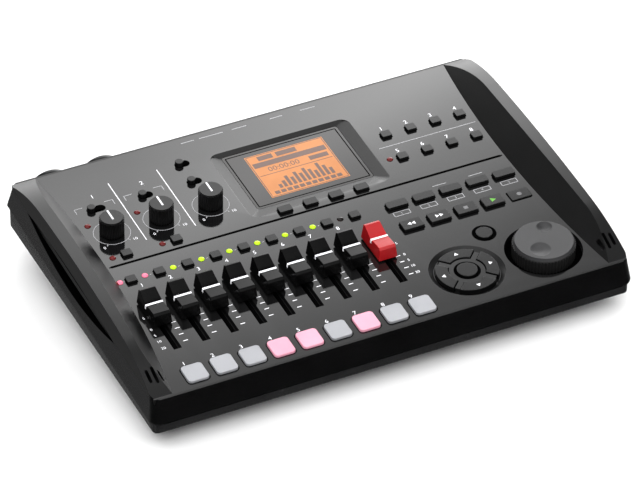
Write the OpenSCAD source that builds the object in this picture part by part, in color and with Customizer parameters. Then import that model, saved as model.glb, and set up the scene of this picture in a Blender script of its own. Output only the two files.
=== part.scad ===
// Tabletop digital multitrack recorder: a sloped control deck with nine faders,
// nine pads, rotary and push controls, a display, arched side rails and rear jacks.
// Most pieces are drawn in the deck's own frame: X right, Y up the slope, Z out of the deck,
// with Z = 0 on the deck's top face. The bottom, the door and the feet are drawn level.

/* [Case] */
// Width of the case at the parting line
case_w = 257; // [250:1:270]
// Depth of the case at the parting line
case_d = 186; // [182:1:198]
// Slope of the deck in degrees, rear side higher
deck_tilt = 6; // [4:0.5:8]
// Height of the deck's front edge above the table
deck_front_h = 27.5; // [26.5:0.5:32]
// Height of the upper case, from the parting line to the deck
upper_h = 12.7; // [12:0.1:14]
// Height of the upright band of the lower case at the front
band_h = 6.5; // [5:0.5:7]
// How much the side bands grow toward the rear, in degrees
band_tilt = 2.2; // [1:0.1:3]
// Wall of the lower case and of the battery bay
wall = 2.2; // [1.8:0.1:2.6]
// Plan radius of the case corners
corner_r = 8; // [6:0.5:12]
// Inward lean of the front apron over its height
apron_lean = 3; // [2:0.5:4]
// Inward lean of the upper case's rear face over its height
rear_lean = 4; // [3:0.5:5]
// Draft of the sides of the upper case and rails, in degrees
side_draft = 7; // [4:0.5:9]
// Draft of the lower case's bands, in degrees
lower_draft = 9; // [5:0.5:12]
// Thickness of the upper case's side cheeks
cheek_t = 7.4; // [7:0.2:9]
// Thickness of the upper case's rear wall at the parting line
rear_wall = 5.5; // [5.2:0.1:6.5]
// Step of the lower case's edge at the parting line
seam_step = 0.5; // [0.3:0.1:0.8]
// Width kept free of feet along the sides, where the underside slopes
under_run = 26; // [20:1:32]
// Width of the sloped underside along the front
under_front = 14; // [10:1:20]
// Width of the sloped underside along the rear
under_rear = 32; // [28:1:36]

/* [Deck] */
// Thickness of the deck panel
deck_t = 3; // [2.6:0.1:3.4]
// Width of the upper case's lip around the deck
lip = 1; // [0.8:0.1:1.4]
// Clearance between the deck panel and its lip
deck_fit = 0.1; // [0.05:0.05:0.2]
// Width of the line groove that divides the deck
groove_w = 0.9; // [0.6:0.1:1.2]
// Depth of the line groove
groove_depth = 0.6; // [0.4:0.1:0.8]
// Distance of the line groove from the deck's rear edge
groove_from_rear = 80.5; // [78:0.5:82]

/* [Layout] */
// Distance of the pads from the deck's front edge
pads_from_front = 10.6; // [10:0.1:12]
// Distance of the fader caps behind the pads
faders_from_pads = 48; // [47:0.1:50]
// Distance of the status keys behind the fader caps
status_from_faders = 27.3; // [26.5:0.1:29]
// Distance of the soft keys behind the status keys
soft_from_status = 18.1; // [16:0.1:20]
// Distance of the soft keys in front of the display's slope
soft_from_well = 0.4; // [0.2:0.1:1]
// Distance of the status keys left of their tracks
status_left = 0.4; // [0:0.1:0.8]
// Distance of the marker keys in front of the status keys
markers_from_status = 1.3; // [0:0.1:2]
// Distance of the transport keys in front of the marker keys
transport_from_markers = 17.3; // [15:0.1:19]
// Distance of the cursor keys from the deck's front edge
cursor_from_front = 25.5; // [25:0.1:27]
// Distance of the exit key behind the cursor keys
exit_from_cursor = 22.1; // [21:0.1:24]
// Distance of the exit key left of the middle between cursor keys and dial
exit_left = 0.3; // [0:0.1:1]
// Distance of the jog dial from the deck's front edge
dial_from_front = 24.5; // [24:0.1:27]
// Distance of the knobs from the deck's rear edge
knobs_from_rear = 55.6; // [53:0.1:58]
// Distance of the input keys in front of the knobs
inputs_from_knobs = 18.2; // [16:0.1:19]
// Distance of the slide switches behind the knobs
slides_from_knobs = 20; // [18:0.1:21]
// Distance of the rear slide switch behind the others
phantom_from_slides = 15.1; // [13:0.1:16]
// Distance of the rear function keys from the deck's rear edge
functions_from_rear = 41.8; // [38:0.1:44]
// Distance from the last track to the first marker key
markers_from_tracks = 22.04; // [20:0.01:24]
// Distance from the last marker key to the rail's foot
wide_margin = 7.6; // [7:0.1:8.6]
// Distance from the rail's foot to the first knob
knob_margin = 12.9; // [12:0.1:14]
// Distance from the last knob to the display's middle
window_from_knobs = 52.4; // [50:0.1:55]
// Distance from the display's middle to the first function key
functions_from_window = 50.4; // [49:0.1:52]
// Distance from the last function key to the rail's foot
function_margin = 5.9; // [5:0.1:7]
// Distance from the jog dial's middle to the rail's foot
dial_margin = 16; // [15.5:0.1:18]
// Distance from the cursor keys' middle to the jog dial's middle
dial_from_cursor = 41.2; // [40:0.1:43]

/* [Side rails] */
// Rise of the rails above the deck
rail_rise = 11.2; // [9:0.2:13]
// Radius of the long middle arc of a rail
rail_mid_r = 900; // [600:50:1500]
// Radius of the two end arcs of a rail
rail_end_r = 94; // [85:1:110]
// Width of a rail at its widest foot
rail_w = 20.5; // [19:0.5:22]
// Plan radius of a rail's inner foot
rail_plan_r = 600; // [500:50:900]
// Distance of the foot's innermost point behind the deck's middle
rail_foot_y = 10; // [0:1:20]
// Length of the finger scoop on each side
scoop_l = 109; // [90:1:115]
// Distance of the scoop's middle behind the deck's middle
scoop_y = 10.5; // [0:0.5:15]
// Drop of the scoop's lower edge below the deck
scoop_drop = 7.8; // [6:0.2:9]
// Rise of the scoop's upper edge above the deck
scoop_rise = 2.7; // [1.5:0.1:4]
// Depth of the scoop into the side
scoop_depth = 4; // [3:0.2:4.6]
// Width of a microphone slot
mic_slot_w = 1.6; // [1.2:0.1:1.8]
// Pitch of the microphone slots
mic_pitch = 3.1; // [2.8:0.1:3.4]
// Length of the middle microphone slot
mic_slot_l = 9; // [7:0.5:10]
// Distance of the microphone slots from the deck's front edge
mic_from_front = 13; // [12:0.5:15]
// Distance of the middle microphone slot from the rail's foot
mic_from_foot = 12.4; // [11.5:0.1:13]

/* [Keys] */
// Clearance around a key in its hole
key_fit = 0.35; // [0.3:0.05:0.45]
// Width of the retaining flange under the deck
key_flange = 0.8; // [0.6:0.1:1]
// Thickness of the retaining flange
flange_t = 1; // [0.8:0.1:1.2]
// Gap between a flange and the deck's underside
flange_gap = 0.2; // [0.1:0.05:0.3]
// Travel of the small keys
key_travel = 0.6; // [0.4:0.1:0.8]
// Radius of a key's plunger
plunger_r = 1.5; // [1.2:0.1:1.7]
// Clearance of a plunger, spindle or lever in its switch or potentiometer
plunger_fit = 0.2; // [0.15:0.05:0.25]
// Width of a small key
small_w = 5.2; // [4.6:0.1:5.8]
// Depth of a small key
small_d = 4.6; // [4:0.1:5.2]
// Height of the small keys above the deck
small_up = 1.6; // [1.2:0.1:2.2]
// Corner radius of the small keys
small_r = 0.5; // [0.3:0.1:0.8]
// Width of a soft key under the display
soft_w = 7; // [6:0.1:7.6]
// Pitch of the soft keys
soft_pitch = 13.9; // [13:0.1:15]
// Pitch of the function keys
function_pitch = 13.8; // [13:0.1:14.4]
// Distance between the two rows of function keys
function_rows = 19.2; // [17:0.2:21]
// Width of the marker and transport keys
wide_w = 11.1; // [10.4:0.1:12]
// Depth of a marker key
marker_d = 4.9; // [4.4:0.1:5.6]
// Depth of a transport key
transport_d = 7.2; // [6.6:0.1:8]
// Height of the marker and transport keys above the deck
wide_up = 1.8; // [1.4:0.1:2.4]
// Height of the record key above the deck
record_up = 0.7; // [0.6:0.1:1.2]
// Corner radius of the marker and transport keys
wide_r = 0.7; // [0.4:0.1:1]
// Pitch of the marker and transport keys
transport_pitch = 14.8; // [13.8:0.1:15.2]
// Diameter of the exit key
exit_d = 8.6; // [8:0.1:9.2]
// Diameter of the recess around the exit key
exit_recess_d = 12.3; // [11.6:0.1:13]
// Height of the exit key above the deck
exit_up = 0.7; // [0.6:0.1:1]

/* [Pads] */
// Width of a pad
pad_w = 11; // [10:0.1:11.8]
// Depth of a pad
pad_d = 11.8; // [10.6:0.1:12.6]
// Corner radius of a pad
pad_r = 2; // [1.4:0.1:2.6]
// Height of the pads above the deck
pad_up = 1.3; // [1:0.1:1.8]
// Travel of the pads
pad_travel = 0.9; // [0.6:0.1:1]

/* [Tracks and faders] */
// Pitch of the track columns
track_pitch = 14.97; // [14.8:0.01:15.2]
// Distance from the rail's foot to the first track
track_margin = 7.4; // [7:0.1:9]
// Length of a fader cap at its base
cap_l = 21; // [19:0.5:23]
// Width of a fader cap at its base
cap_w = 10; // [9:0.1:10.6]
// Height of a fader cap's rear ridge above the deck
cap_h = 9.6; // [8:0.2:11]
// Height of the front ridge below the rear ridge
cap_step = 1.9; // [1:0.1:2.6]
// Height of the valley below the front ridge
cap_valley = 1.2; // [0.8:0.1:1.6]
// Gap between a fader cap and the deck
cap_gap = 0.8; // [0.5:0.1:1.2]
// Draft of a fader cap's faces, in degrees
cap_draft = 5; // [3:0.5:8]
// Width of a fader slot
slot_w = 4.2; // [3.8:0.1:4.6]
// Width of a fader lever
lever_w = 3; // [2.6:0.1:3.2]
// Length of a fader lever along the slot
lever_l = 4.2; // [3.6:0.1:5]
// Travel of a fader toward the rear from where it stands
fader_up = 7.2; // [5:0.2:8]
// Travel of a fader toward the front from where it stands
fader_down = 24.4; // [20:0.2:25]
// Clearance of a lever at each end of its slot
slot_end = 1.6; // [1:0.2:2]

/* [Rotary controls] */
// Diameter of a gain knob
knob_d = 12.4; // [11:0.1:13.4]
// Height of a gain knob's top above the deck
knob_h = 10; // [8:0.2:12]
// Gap between a knob and the deck
knob_gap = 0.6; // [0.4:0.1:1]
// Number of flutes around a gain knob
knob_flutes = 30; // [20:2:36]
// Radius of a flute
flute_r = 0.42; // [0.3:0.02:0.5]
// Pitch of the gain knobs
knob_pitch = 26.5; // [25:0.1:28]
// Radius of the knob spindles
spindle_r = 3; // [2.5:0.1:3.2]
// Diameter of the jog dial
dial_d = 31.5; // [29:0.5:33]
// Height of the jog dial above the deck
dial_h = 6; // [4:0.2:8]
// Diameter of the moat around the jog dial
moat_d = 38.8; // [37:0.2:40]
// Depth of the moat
moat_depth = 3.2; // [3:0.1:3.4]
// Number of notches around the jog dial
dial_notches = 60; // [48:4:72]
// Radius of a notch
notch_r = 0.5; // [0.4:0.05:0.6]
// Diameter of the jog dial's larger finger dimple
dimple_d = 10.7; // [9:0.1:11.5]
// Diameter of the jog dial's smaller finger dimple
small_dimple_d = 7.8; // [6.6:0.1:8.6]
// Depth of the finger dimples
dimple_depth = 1.6; // [1:0.1:2]

/* [Cursor keys] */
// Diameter of the dish around the cursor keys
dish_d = 38; // [36:0.2:39]
// Depth of the dish
dish_depth = 1.9; // [1.5:0.1:2.2]
// Outer diameter of the arrow keys
arrow_d = 31.5; // [30:0.1:32.2]
// Inner diameter of the arrow keys
arrow_in_d = 18.6; // [18:0.1:19.6]
// Width of the web between two arrow keys
web_w = 2.6; // [2.2:0.1:3.2]
// Turn of the arrow keys from the deck's axes, in degrees
arrow_turn = 0; // [-10:1:10]
// Diameter of the enter key
enter_d = 10.5; // [9.8:0.1:11]
// Diameter of the recess around the enter key
enter_recess_d = 13.4; // [12.8:0.1:14]
// Height of the enter key above the deck
enter_up = 0.8; // [0.6:0.1:1.2]
// Height of the arrow keys above the deck
arrow_up = 0.6; // [0.5:0.1:1]

/* [Display] */
// Width of the display window
window_w = 63.8; // [60:0.2:66]
// Depth of the display window
window_d = 44.7; // [42:0.1:46]
// Thickness of the display window
window_t = 1.2; // [0.8:0.1:1.4]
// Clearance around the display window
window_fit = 0.15; // [0.1:0.05:0.2]
// Width of the slope on each side of the display
well_side = 6.5; // [5:0.1:8]
// Width of the slope in front of the display
well_front = 7.6; // [6:0.1:8.4]
// Width of the slope behind the display
well_rear = 2.1; // [1.5:0.1:3]
// Corner radius of the display well
well_r = 5; // [3:0.5:6]
// Distance of the display window from the deck's rear edge
window_from_rear = 22.3; // [21:0.1:23]
// Distance of the display window's middle right of the deck's middle
window_x = 10.3; // [8:0.1:12]
// Width of the display module
module_w = 56; // [50:1:60]
// Depth of the display module
module_d = 40; // [36:1:42]

/* [Slide switches] */
// Diameter of a slide lever
slide_d = 4.3; // [3.8:0.1:4.6]
// Height of a slide lever above the deck
slide_up = 2.5; // [2:0.1:3.5]
// Clearance of a slide lever in its slot
slide_fit = 0.35; // [0.3:0.05:0.45]
// Throw of the two-position switches
slide_throw = 3; // [2:0.2:3.6]
// Throw of the three-position switch
input_throw = 5; // [4:0.2:5.6]

/* [Lamps] */
// Diameter of an indicator lamp
lamp_d = 3.2; // [2.8:0.1:3.4]
// Height of a lamp above the deck
lamp_up = 0.7; // [0.4:0.1:1]
// Clearance of a lamp in the deck
lamp_fit = 0.1; // [0.05:0.05:0.15]
// Distance of a status or input lamp to the left of its key
lamp_offset = 7.4; // [7:0.1:7.8]
// Distance of a status lamp behind its key's middle
lamp_rise = 0.7; // [0:0.1:1]
// Distance of a clip lamp to the left of its knob
clip_left = 9; // [8.4:0.1:10]
// Distance of a clip lamp behind its knob
clip_rise = 9.3; // [8:0.1:10]
// Distance of the tempo lamp to the left of its key
tempo_left = 6.5; // [6:0.1:7]
// Distance of the tempo lamp behind its key's middle
tempo_rise = 1; // [0:0.1:1.4]

/* [Rear connectors] */
// How far the combination jacks stand out behind the case
jack_out = 4; // [3:0.5:5]
// Width of a combination jack's body
combo_w = 24; // [22:0.5:25]
// Height of a combination jack's body
combo_h = 23; // [22:0.5:24]
// Length of a combination jack's body
combo_l = 24; // [20:0.5:26]
// Diameter of a combination jack's round nose
combo_nose_d = 21; // [20:0.5:21.5]
// Diameter of the ring groove in a combination jack
combo_ring_d = 18.6; // [18:0.1:19]
// Diameter of a combination jack's core
combo_core_d = 15.6; // [15:0.1:16]
// Pitch of the combination jacks
combo_pitch = 27.7; // [27:0.1:29]
// Bore of the phone sockets
phone_bore = 6.5; // [6.4:0.05:6.7]
// Depth of a phone socket's bore
phone_depth = 16; // [14:0.5:18]
// Width and height of a phone jack's body
phone_w = 11; // [10:0.2:12]
// Diameter of a phone jack's threaded nose
nose_d = 9; // [8.6:0.1:9.4]
// Width of a phone jack's nut across its flats
nut_w = 12; // [11:0.2:13]
// Clearance of a nose in the rear panel
nose_fit = 0.2; // [0.1:0.05:0.3]
// Thickness of the rear panel
panel_t = 2; // [1.6:0.1:2.4]
// Lap of the rear panel behind the case walls
panel_lap = 2; // [1.5:0.1:2.5]
// Diameter of the phones volume knob
volume_d = 10; // [9:0.2:11]
// Radius of the volume knob's spindle
volume_spindle_r = 1.6; // [1.3:0.1:2]
// Throw of the power switch
power_throw = 3; // [2:0.2:4]

/* [Inside] */
// Depth of the board's top face below the deck's top face
board_drop = 9.4; // [9:0.1:10]
// Thickness of the main board
board_t = 1.6; // [1.2:0.1:2]
// Gap between the board and the case walls
board_gap = 3; // [2:0.5:4]
// Radius of the posts that carry the board
post_r = 2.6; // [2:0.1:3]
// Width of a key switch body
switch_w = 6; // [5.6:0.1:6.2]
// Height of a key switch body
switch_h = 3.4; // [3:0.1:3.8]
// Width of a slide potentiometer
pot_w = 9; // [8:0.2:9.6]
// Width of a rotary potentiometer
rotary_w = 10.5; // [9.5:0.1:11]

/* [Bottom] */
// Height of the rubber feet
foot_h = 4; // [3:0.2:5]
// Diameter of the rubber feet
foot_d = 15; // [12:0.5:18]
// Depth of the feet's seats in the bottom
foot_seat = 0.8; // [0.5:0.1:1.2]
// Width of the battery door
door_w = 62; // [58:1:68]
// Length of the battery door
door_l = 57; // [54:1:60]
// Clearance around the battery door
door_fit = 0.25; // [0.2:0.05:0.35]
// Height inside the battery bay
bay_h = 15; // [14.6:0.1:15.4]

/* [Hidden] */
$fn = 48;
// Segments of the long arcs
long_fn = 720;
eps = 0.01;
// Reach of the cutting solids past what they cut
past = 40;
tracks = 9;
keys_per_row = 5;
half_w = case_w / 2;
half_d = case_d / 2;
deck_front = -(half_d - apron_lean);
deck_rear = half_d - rear_lean;
deck_z = deck_front_h - deck_front * sin(deck_tilt);
deck_half_w = half_w - upper_h * tan(side_draft) - lip;
cavity_half_w = half_w - cheek_t;
cavity_front = deck_front + 3 * lip;
cavity_rear = half_d - rear_wall;

// The case's front and the jacks' rear set the middle of the footprint
front_y = -half_d * cos(deck_tilt) + upper_h * sin(deck_tilt);
panel_top = -deck_t - 0.4;
combo_drop = panel_lap - panel_top + combo_nose_d / 2 + 0.5;
rear_y = (half_d + jack_out) * cos(deck_tilt) + (combo_drop + combo_nose_d / 2) * sin(deck_tilt);
y_shift = -(front_y + rear_y) / 2;

// How much larger a corner's rounding is than the radius that touches both faces
corner_over = 0.6;

// Rails
rail_foot = half_w - rail_w;
rail_front = deck_front + 2 * lip;
rail_rear = deck_rear - lip;
rail_half = (rail_rear - rail_front) / 2;
rail_mid = (rail_rear + rail_front) / 2;
rail_axis = rail_rise - rail_mid_r;
rail_chord = sqrt(rail_half * rail_half + rail_axis * rail_axis);
rail_arm = rail_mid_r - rail_end_r;
rail_open = acos((rail_chord ^ 2 + rail_arm ^ 2 - rail_end_r ^ 2) / (2 * rail_chord * rail_arm));
rail_turn = atan2(rail_half, -rail_axis) - rail_open;
rail_join = rail_mid_r * sin(rail_turn);
mic_x = rail_foot + mic_from_foot;
mic_y = deck_front + mic_from_front;

// Rows, counted from the deck's front and rear edges. What the deck's depth leaves over is shared
// by the three gaps between pads, faders, status keys and soft keys
window_y = deck_rear - window_from_rear - window_d / 2;
soft_y = window_y - window_d / 2 - well_front - soft_from_well;
pad_y = deck_front + pads_from_front;
row_slack = (soft_y - pad_y - faders_from_pads - status_from_faders - soft_from_status) / 3;
fader_y = pad_y + faders_from_pads + row_slack;
status_y = fader_y + status_from_faders + row_slack;
marker_y = status_y - markers_from_status;
transport_y = marker_y - transport_from_markers;
cursor_y = deck_front + cursor_from_front;
exit_y = cursor_y + exit_from_cursor + row_slack;
dial_y = deck_front + dial_from_front;
knob_y = deck_rear - knobs_from_rear;
input_key_y = knob_y - inputs_from_knobs;
slide_y = knob_y + slides_from_knobs;
phantom_y = slide_y + phantom_from_slides;
function_y = deck_rear - functions_from_rear;

// Columns, counted from the rails' feet. What the width leaves over is shared by the steps of a row
tracks_w = track_margin + (tracks - 1) * track_pitch;
wides_w = wide_margin + (keys_per_row - 1) * transport_pitch;
wide_slack = (2 * rail_foot - tracks_w - markers_from_tracks - wides_w) / (tracks + keys_per_row - 1);
knob_slack = (window_x + rail_foot - knob_margin - 2 * knob_pitch - window_from_knobs) / 3;
function_slack = (rail_foot - window_x - functions_from_window - 3 * function_pitch - function_margin) / 4;
track_step = track_pitch + wide_slack;
wide_step = transport_pitch + wide_slack;
knob_step = knob_pitch + knob_slack;
function_step = function_pitch + function_slack;
function track_x(i) = -rail_foot + track_margin + i * track_step;
function wide_x(i) = rail_foot - wide_margin - (keys_per_row - 1 - i) * wide_step;
function function_x(i) = rail_foot - function_margin - (3 - i) * function_step;
function soft_x(i) = window_x + (i - 1.5) * soft_pitch;
function knob_x(i) = -rail_foot + knob_margin + i * knob_step;
dial_x = rail_foot - dial_margin;
cursor_x = dial_x - dial_from_cursor;
exit_x = (cursor_x + dial_x) / 2 - exit_left;
tempo_x = function_x(0) - tempo_left;
tempo_y = function_y - function_rows + tempo_rise;

// Where keys, lamps and controls stand, as [x, y]
status_keys_at = [for (i = [0 : tracks - 1]) [track_x(i) - status_left, status_y]];
input_keys_at = [for (i = [0, 1]) [knob_x(i), input_key_y]];
soft_keys_at = [for (i = [0 : 3]) [soft_x(i), soft_y]];
function_keys_at = [for (i = [0 : 3], row = [0, 1]) [function_x(i), function_y - row * function_rows]];
marker_keys_at = [for (i = [0 : keys_per_row - 1]) [wide_x(i), marker_y]];
lamps_at = concat(
    [for (p = status_keys_at) [p.x - lamp_offset, p.y + lamp_rise]],
    [for (p = input_keys_at) [p.x - lamp_offset, p.y]],
    [for (i = [0, 1]) [knob_x(i) - clip_left, knob_y + clip_rise]],
    [[tempo_x, tempo_y]]
);
// Slide switches: [x, y, throw]
slides = [
    [knob_x(0), slide_y, input_throw],
    [knob_x(1), slide_y, slide_throw],
    [knob_x(2), phantom_y, slide_throw],
    [knob_x(2), slide_y, slide_throw]
];
post_from_status = 7;
post_from_knobs = 10;
post_from_markers = 13;
posts_at = [
    [track_x(0) + track_step / 2, status_y - post_from_status],
    [track_x(7) + track_step / 2, status_y - post_from_status],
    [knob_x(1) + knob_step / 2, knob_y + post_from_knobs],
    [function_x(1) + function_step / 2, function_y - function_rows / 2],
    [function_x(3), marker_y + post_from_markers]
];

// Heights below the deck
flange_top = -deck_t - flange_gap;
flange_low = flange_top - flange_t;
board_z = -board_drop;
switch_top = board_z + switch_h;
socket_floor = board_z + 1;
plunger_low = socket_floor + max(key_travel, pad_travel) + 0.3;
pot_top = -deck_t - 0.2;
cup_wall = 1.5;
cup_low = -moat_depth - 1.2;
knob_rim = 0.6;
dial_rim = dimple_depth + 0.4;
well_depth = deck_t - window_t;
window_r = 1.5;
slot_y0 = fader_y - fader_down - lever_l / 2 - slot_end;
slot_y1 = fader_y + fader_up + lever_l / 2 + slot_end;

// Rear connectors
combo_margin = 5.4;
function combo_x(i) = -rail_foot + combo_margin + i * combo_pitch;
phone_xs = [-30, -12, 24, 61.7];
volume_x = 43;
power_x = 81.7;
phone_drop = panel_lap - panel_top + nut_w / 2 / cos(30) + 0.5;
panel_x0 = combo_x(0) - combo_w / 2 - panel_lap;
power_margin = 10;
panel_x1 = power_x + power_margin;
panel_low = -combo_drop - combo_h / 2 - panel_lap;
panel_y = cavity_rear;
phone_face = panel_y + 5.5;
phone_l = 20;
nut_t = 2.2;
ring_depth = 9;
power_w = 4;
power_body = [10, 6, 7];
power_stem_l = 4;
volume_pot_l = 9;
back_wall = 1;
slide_body = 7;
pot_ends = 8;
slide_stem_r = 1.2;

// Side sockets in the right cheek, as [y, width, height]
card_w = 25.5;
card_t = 2.6;
card_depth = 20;
card_from_front = 28;
card_y = deck_front + card_from_front;
usb_w = 7.6;
usb_h = 3.6;
usb_depth = 10;
usb_y = scoop_y + scoop_l / 2 + 6;
dc_r = 2.6;
dc_pitch = 9.4;
dc_y = usb_y + dc_pitch;
sockets = [[card_y, card_w + 3, card_t + 1.6], [usb_y, usb_w + 1.6, usb_h + 1.6], [dc_y, 2 * dc_r + 2, 6]];
socket_l = 24;
cheek_x = half_w - (upper_h + board_z + 6) * tan(side_draft);

// Level bottom
bottom_z = foot_h;
rear_band = 2 * wall - panel_low - upper_h;
under_slope = 34;
flat_rear = half_d * cos(deck_tilt) + y_shift - under_rear;
flat_front = front_y + y_shift + under_front;
door_rear = flat_rear - 1;
door_front = door_rear - door_l;
grip_l = door_w / 3;
bay_low = bottom_z + wall + door_fit;
bay_lap = 1.5;
bay_rear = door_rear - 3;
foot_gap = 4;
foot_side_gap = 6;
foot_y0 = flat_front + foot_d / 2 + foot_gap;
foot_y1 = flat_rear - foot_d / 2 - foot_gap;
foot_x = half_w - under_run - foot_d / 2 - foot_side_gap;

arrow_names = ["right_key", "up_key", "left_key", "down_key"];
transport_names = ["rewind_key", "forward_key", "stop_key", "play_key", "record_key"];
knob_names = ["gain_knob_1", "gain_knob_2", "balance_knob"];
slide_names = ["input_switch_1", "input_switch_2", "phantom_switch", "metronome_switch"];
fader_names = [for (i = [0 : tracks - 1]) i == tracks - 1 ? "master_fader" : str("fader_", i + 1)];
pad_names = [for (i = [0 : tracks - 1]) str("pad_", i + 1)];

// Shared shapes
module on_deck() {
    translate([0, y_shift, deck_z]) rotate([deck_tilt, 0, 0]) children();
}
module at(p) {
    translate([p.x, p.y, 0]) children();
}
module prism(z0, z1) {
    translate([0, 0, z0]) linear_extrude(z1 - z0) children();
}
module along_x(length) {
    rotate([90, 0, 90]) linear_extrude(length, center = true) children();
}
module along_y(length) {
    rotate([90, 0, 0]) linear_extrude(length, center = true) children();
}
module rearward(y0, y1) {
    translate([0, y1, 0]) rotate([90, 0, 0]) linear_extrude(y1 - y0) children();
}
module rounded(w, d, r) {
    square([w - 2 * r, d], center = true);
    square([w, d - 2 * r], center = true);
    for (x = [-1, 1], y = [-1, 1]) translate([x * (w / 2 - r), y * (d / 2 - r)]) circle(r);
}
module stadium(throw, d) {
    square([throw, d], center = true);
    for (x = [-1, 1]) translate([x * throw / 2, 0]) circle(d = d);
}
module fluted(r, count, cut_r) {
    difference() {
        circle(r);
        for (i = [1 : count]) rotate(i * 360 / count) translate([r, 0]) circle(cut_r, $fn = 16);
    }
}

// Side outline of the case sides, leaning in with height above the parting line
module side_outline(top) {
    lean = (upper_h + top) * tan(side_draft);
    polygon([
        [-half_w, -upper_h], [half_w, -upper_h],
        [half_w - lean, top], [-half_w + lean, top]
    ]);
}
// Finger scoop in both sides: one long arc cuts the case, a flatter one the rails above it
function arc_r(rise) = (scoop_l * scoop_l / 4 + rise * rise) / (2 * rise);
module scoop_cut(r, z) {
    for (side = [-1, 1])
        translate([side * (half_w - upper_h * tan(side_draft) - scoop_depth + past / 2), scoop_y, z])
            along_x(past) circle(r, $fn = long_fn);
}
module case_scoops() {
    r = arc_r(scoop_drop);
    scoop_cut(r, r - scoop_drop);
}
module rail_scoops() {
    r = arc_r(scoop_rise);
    scoop_cut(r, scoop_rise - r);
}

// Key with a retaining flange and a plunger that enters its switch
module key(p, up) {
    at(p) {
        prism(flange_low, up) children(0);
        prism(flange_low, flange_top) children(1);
        translate([0, 0, plunger_low]) cylinder(r = plunger_r, h = flange_low - plunger_low + eps);
    }
}
module plain_key(p, w, d, r, up) {
    key(p, up) {
        rounded(w, d, r);
        rounded(w + 2 * key_flange, d + 2 * key_flange, r);
    }
}
module round_key(p, d, flange_d, up) {
    key(p, up) {
        circle(d = d);
        circle(d = flange_d);
    }
}

// Casing
// What the rounded upright corners take away between two heights. Each corner's axis leans inward
// with the two faces that it joins, and its radius is a little larger so that it crosses both
module corner_cuts(z0, z1) {
    foot = [half_w - corner_r, half_d - corner_r, -upper_h];
    for (side = [-1, 1], end = [[-1, apron_lean], [1, rear_lean]]) {
        lean = [upper_h * tan(side_draft), end.y, 0] / upper_h;
        middle = foot - lean * (upper_h + (z0 + z1) / 2);
        turn = atan2(lean.y, lean.x);
        mirror([0, (1 - end.x) / 2, 0]) mirror([(1 - side) / 2, 0, 0]) difference() {
            translate([middle.x, middle.y, z0 - 1]) cube([past, past, z1 - z0 + 2]);
            translate(foot) rotate([0, 0, turn]) rotate([0, -atan(norm(lean)), 0])
                cylinder(r = corner_r + corner_over, h = 4 * past, center = true);
        }
    }
}
module upper_form() {
    intersection() {
        prism(-upper_h, 0) square([case_w, case_d], center = true);
        along_x(case_w) polygon([
            [-half_d, -upper_h], [half_d, -upper_h], [deck_rear, 0], [deck_front, 0]
        ]);
        along_y(case_d) side_outline(0);
    }
}
module rear_window() {
    gap = panel_lap;
    translate([panel_x0 + gap, 0, panel_low + gap])
        cube([panel_x1 - panel_x0 - 2 * gap, half_d + past, panel_top - panel_low - 2 * gap]);
}
module upper_case() {
    color("#1c1c1f") on_deck() difference() {
        upper_form();
        translate([-deck_half_w, deck_front + lip, -deck_t])
            cube([2 * deck_half_w, deck_rear - deck_front - 2 * lip, deck_t + past]);
        translate([-cavity_half_w, cavity_front, -past])
            cube([2 * cavity_half_w, cavity_rear - cavity_front, past]);
        corner_cuts(-upper_h, 0);
        case_scoops();
        rear_window();
        socket_shell(plunger_fit);
    }
}
// Side outline of a rail: a long middle arc that runs into a tighter arc at each end
function arc_point(y, z, r, turn) = [y + r * sin(turn), z + r * cos(turn)];
module rail_profile() {
    end_y = rail_arm * sin(rail_turn);
    end_z = rail_axis + rail_arm * cos(rail_turn);
    end_turn = acos(-end_z / rail_end_r);
    steps = 14;
    middle = [for (k = [1 - steps : steps - 1]) arc_point(0, rail_axis, rail_mid_r, k / steps * rail_turn)];
    turns = [for (k = [0 : steps]) rail_turn + k / steps * (end_turn - rail_turn)];
    rear = [for (turn = turns) arc_point(end_y, end_z, rail_end_r, turn)];
    front = [for (k = [steps : -1 : 0]) [-rear[k].x, rear[k].y]];
    polygon(concat(front, middle, rear));
}
module side_rail() {
    intersection() {
        along_x(case_w) translate([rail_mid, 0]) rail_profile();
        translate([rail_foot + rail_plan_r, rail_foot_y, 0])
            cylinder(h = past, r1 = rail_plan_r, r2 = rail_plan_r - past, $fn = long_fn);
        along_y(case_d) side_outline(past);
    }
}
module side_rails() {
    color("#242427") on_deck() for (side = [0, 1]) mirror([side, 0, 0]) difference() {
        side_rail();
        corner_cuts(0, rail_rise);
        rail_scoops();
        for (i = [-1 : 1]) at([mic_x + i * mic_pitch, mic_y])
            prism(-eps, past) rotate(90) stadium(mic_slot_l - 2 * abs(i) - mic_slot_w, mic_slot_w);
    }
}

// Deck panel with its display well, cursor dish, dial cup and board posts
module well_cut() {
    x0 = window_x - window_w / 2 - well_side;
    x1 = window_x + window_w / 2 + well_side;
    y0 = window_y - window_d / 2 - well_front;
    y1 = window_y + window_d / 2 + well_rear;
    intersection() {
        translate([(x0 + x1) / 2, (y0 + y1) / 2, 0])
            prism(-well_depth, past) rounded(x1 - x0, y1 - y0, well_r);
        along_x(case_w) polygon([
            [y0, past], [y0, 0], [y0 + well_front, -well_depth],
            [y1 - well_rear, -well_depth], [y1, 0], [y1, past]
        ]);
        along_y(case_d) polygon([
            [x0, past], [x0, 0], [x0 + well_side, -well_depth],
            [x1 - well_side, -well_depth], [x1, 0], [x1, past]
        ]);
    }
}
module arrow_sector(grow) {
    edge = (web_w / 2 + key_fit - grow) * sqrt(2);
    intersection() {
        difference() {
            circle(arrow_d / 2 + grow);
            circle(arrow_in_d / 2 - grow);
        }
        polygon([[edge, 0], [edge + past, past], [edge + past, -past]]);
    }
}
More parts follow.
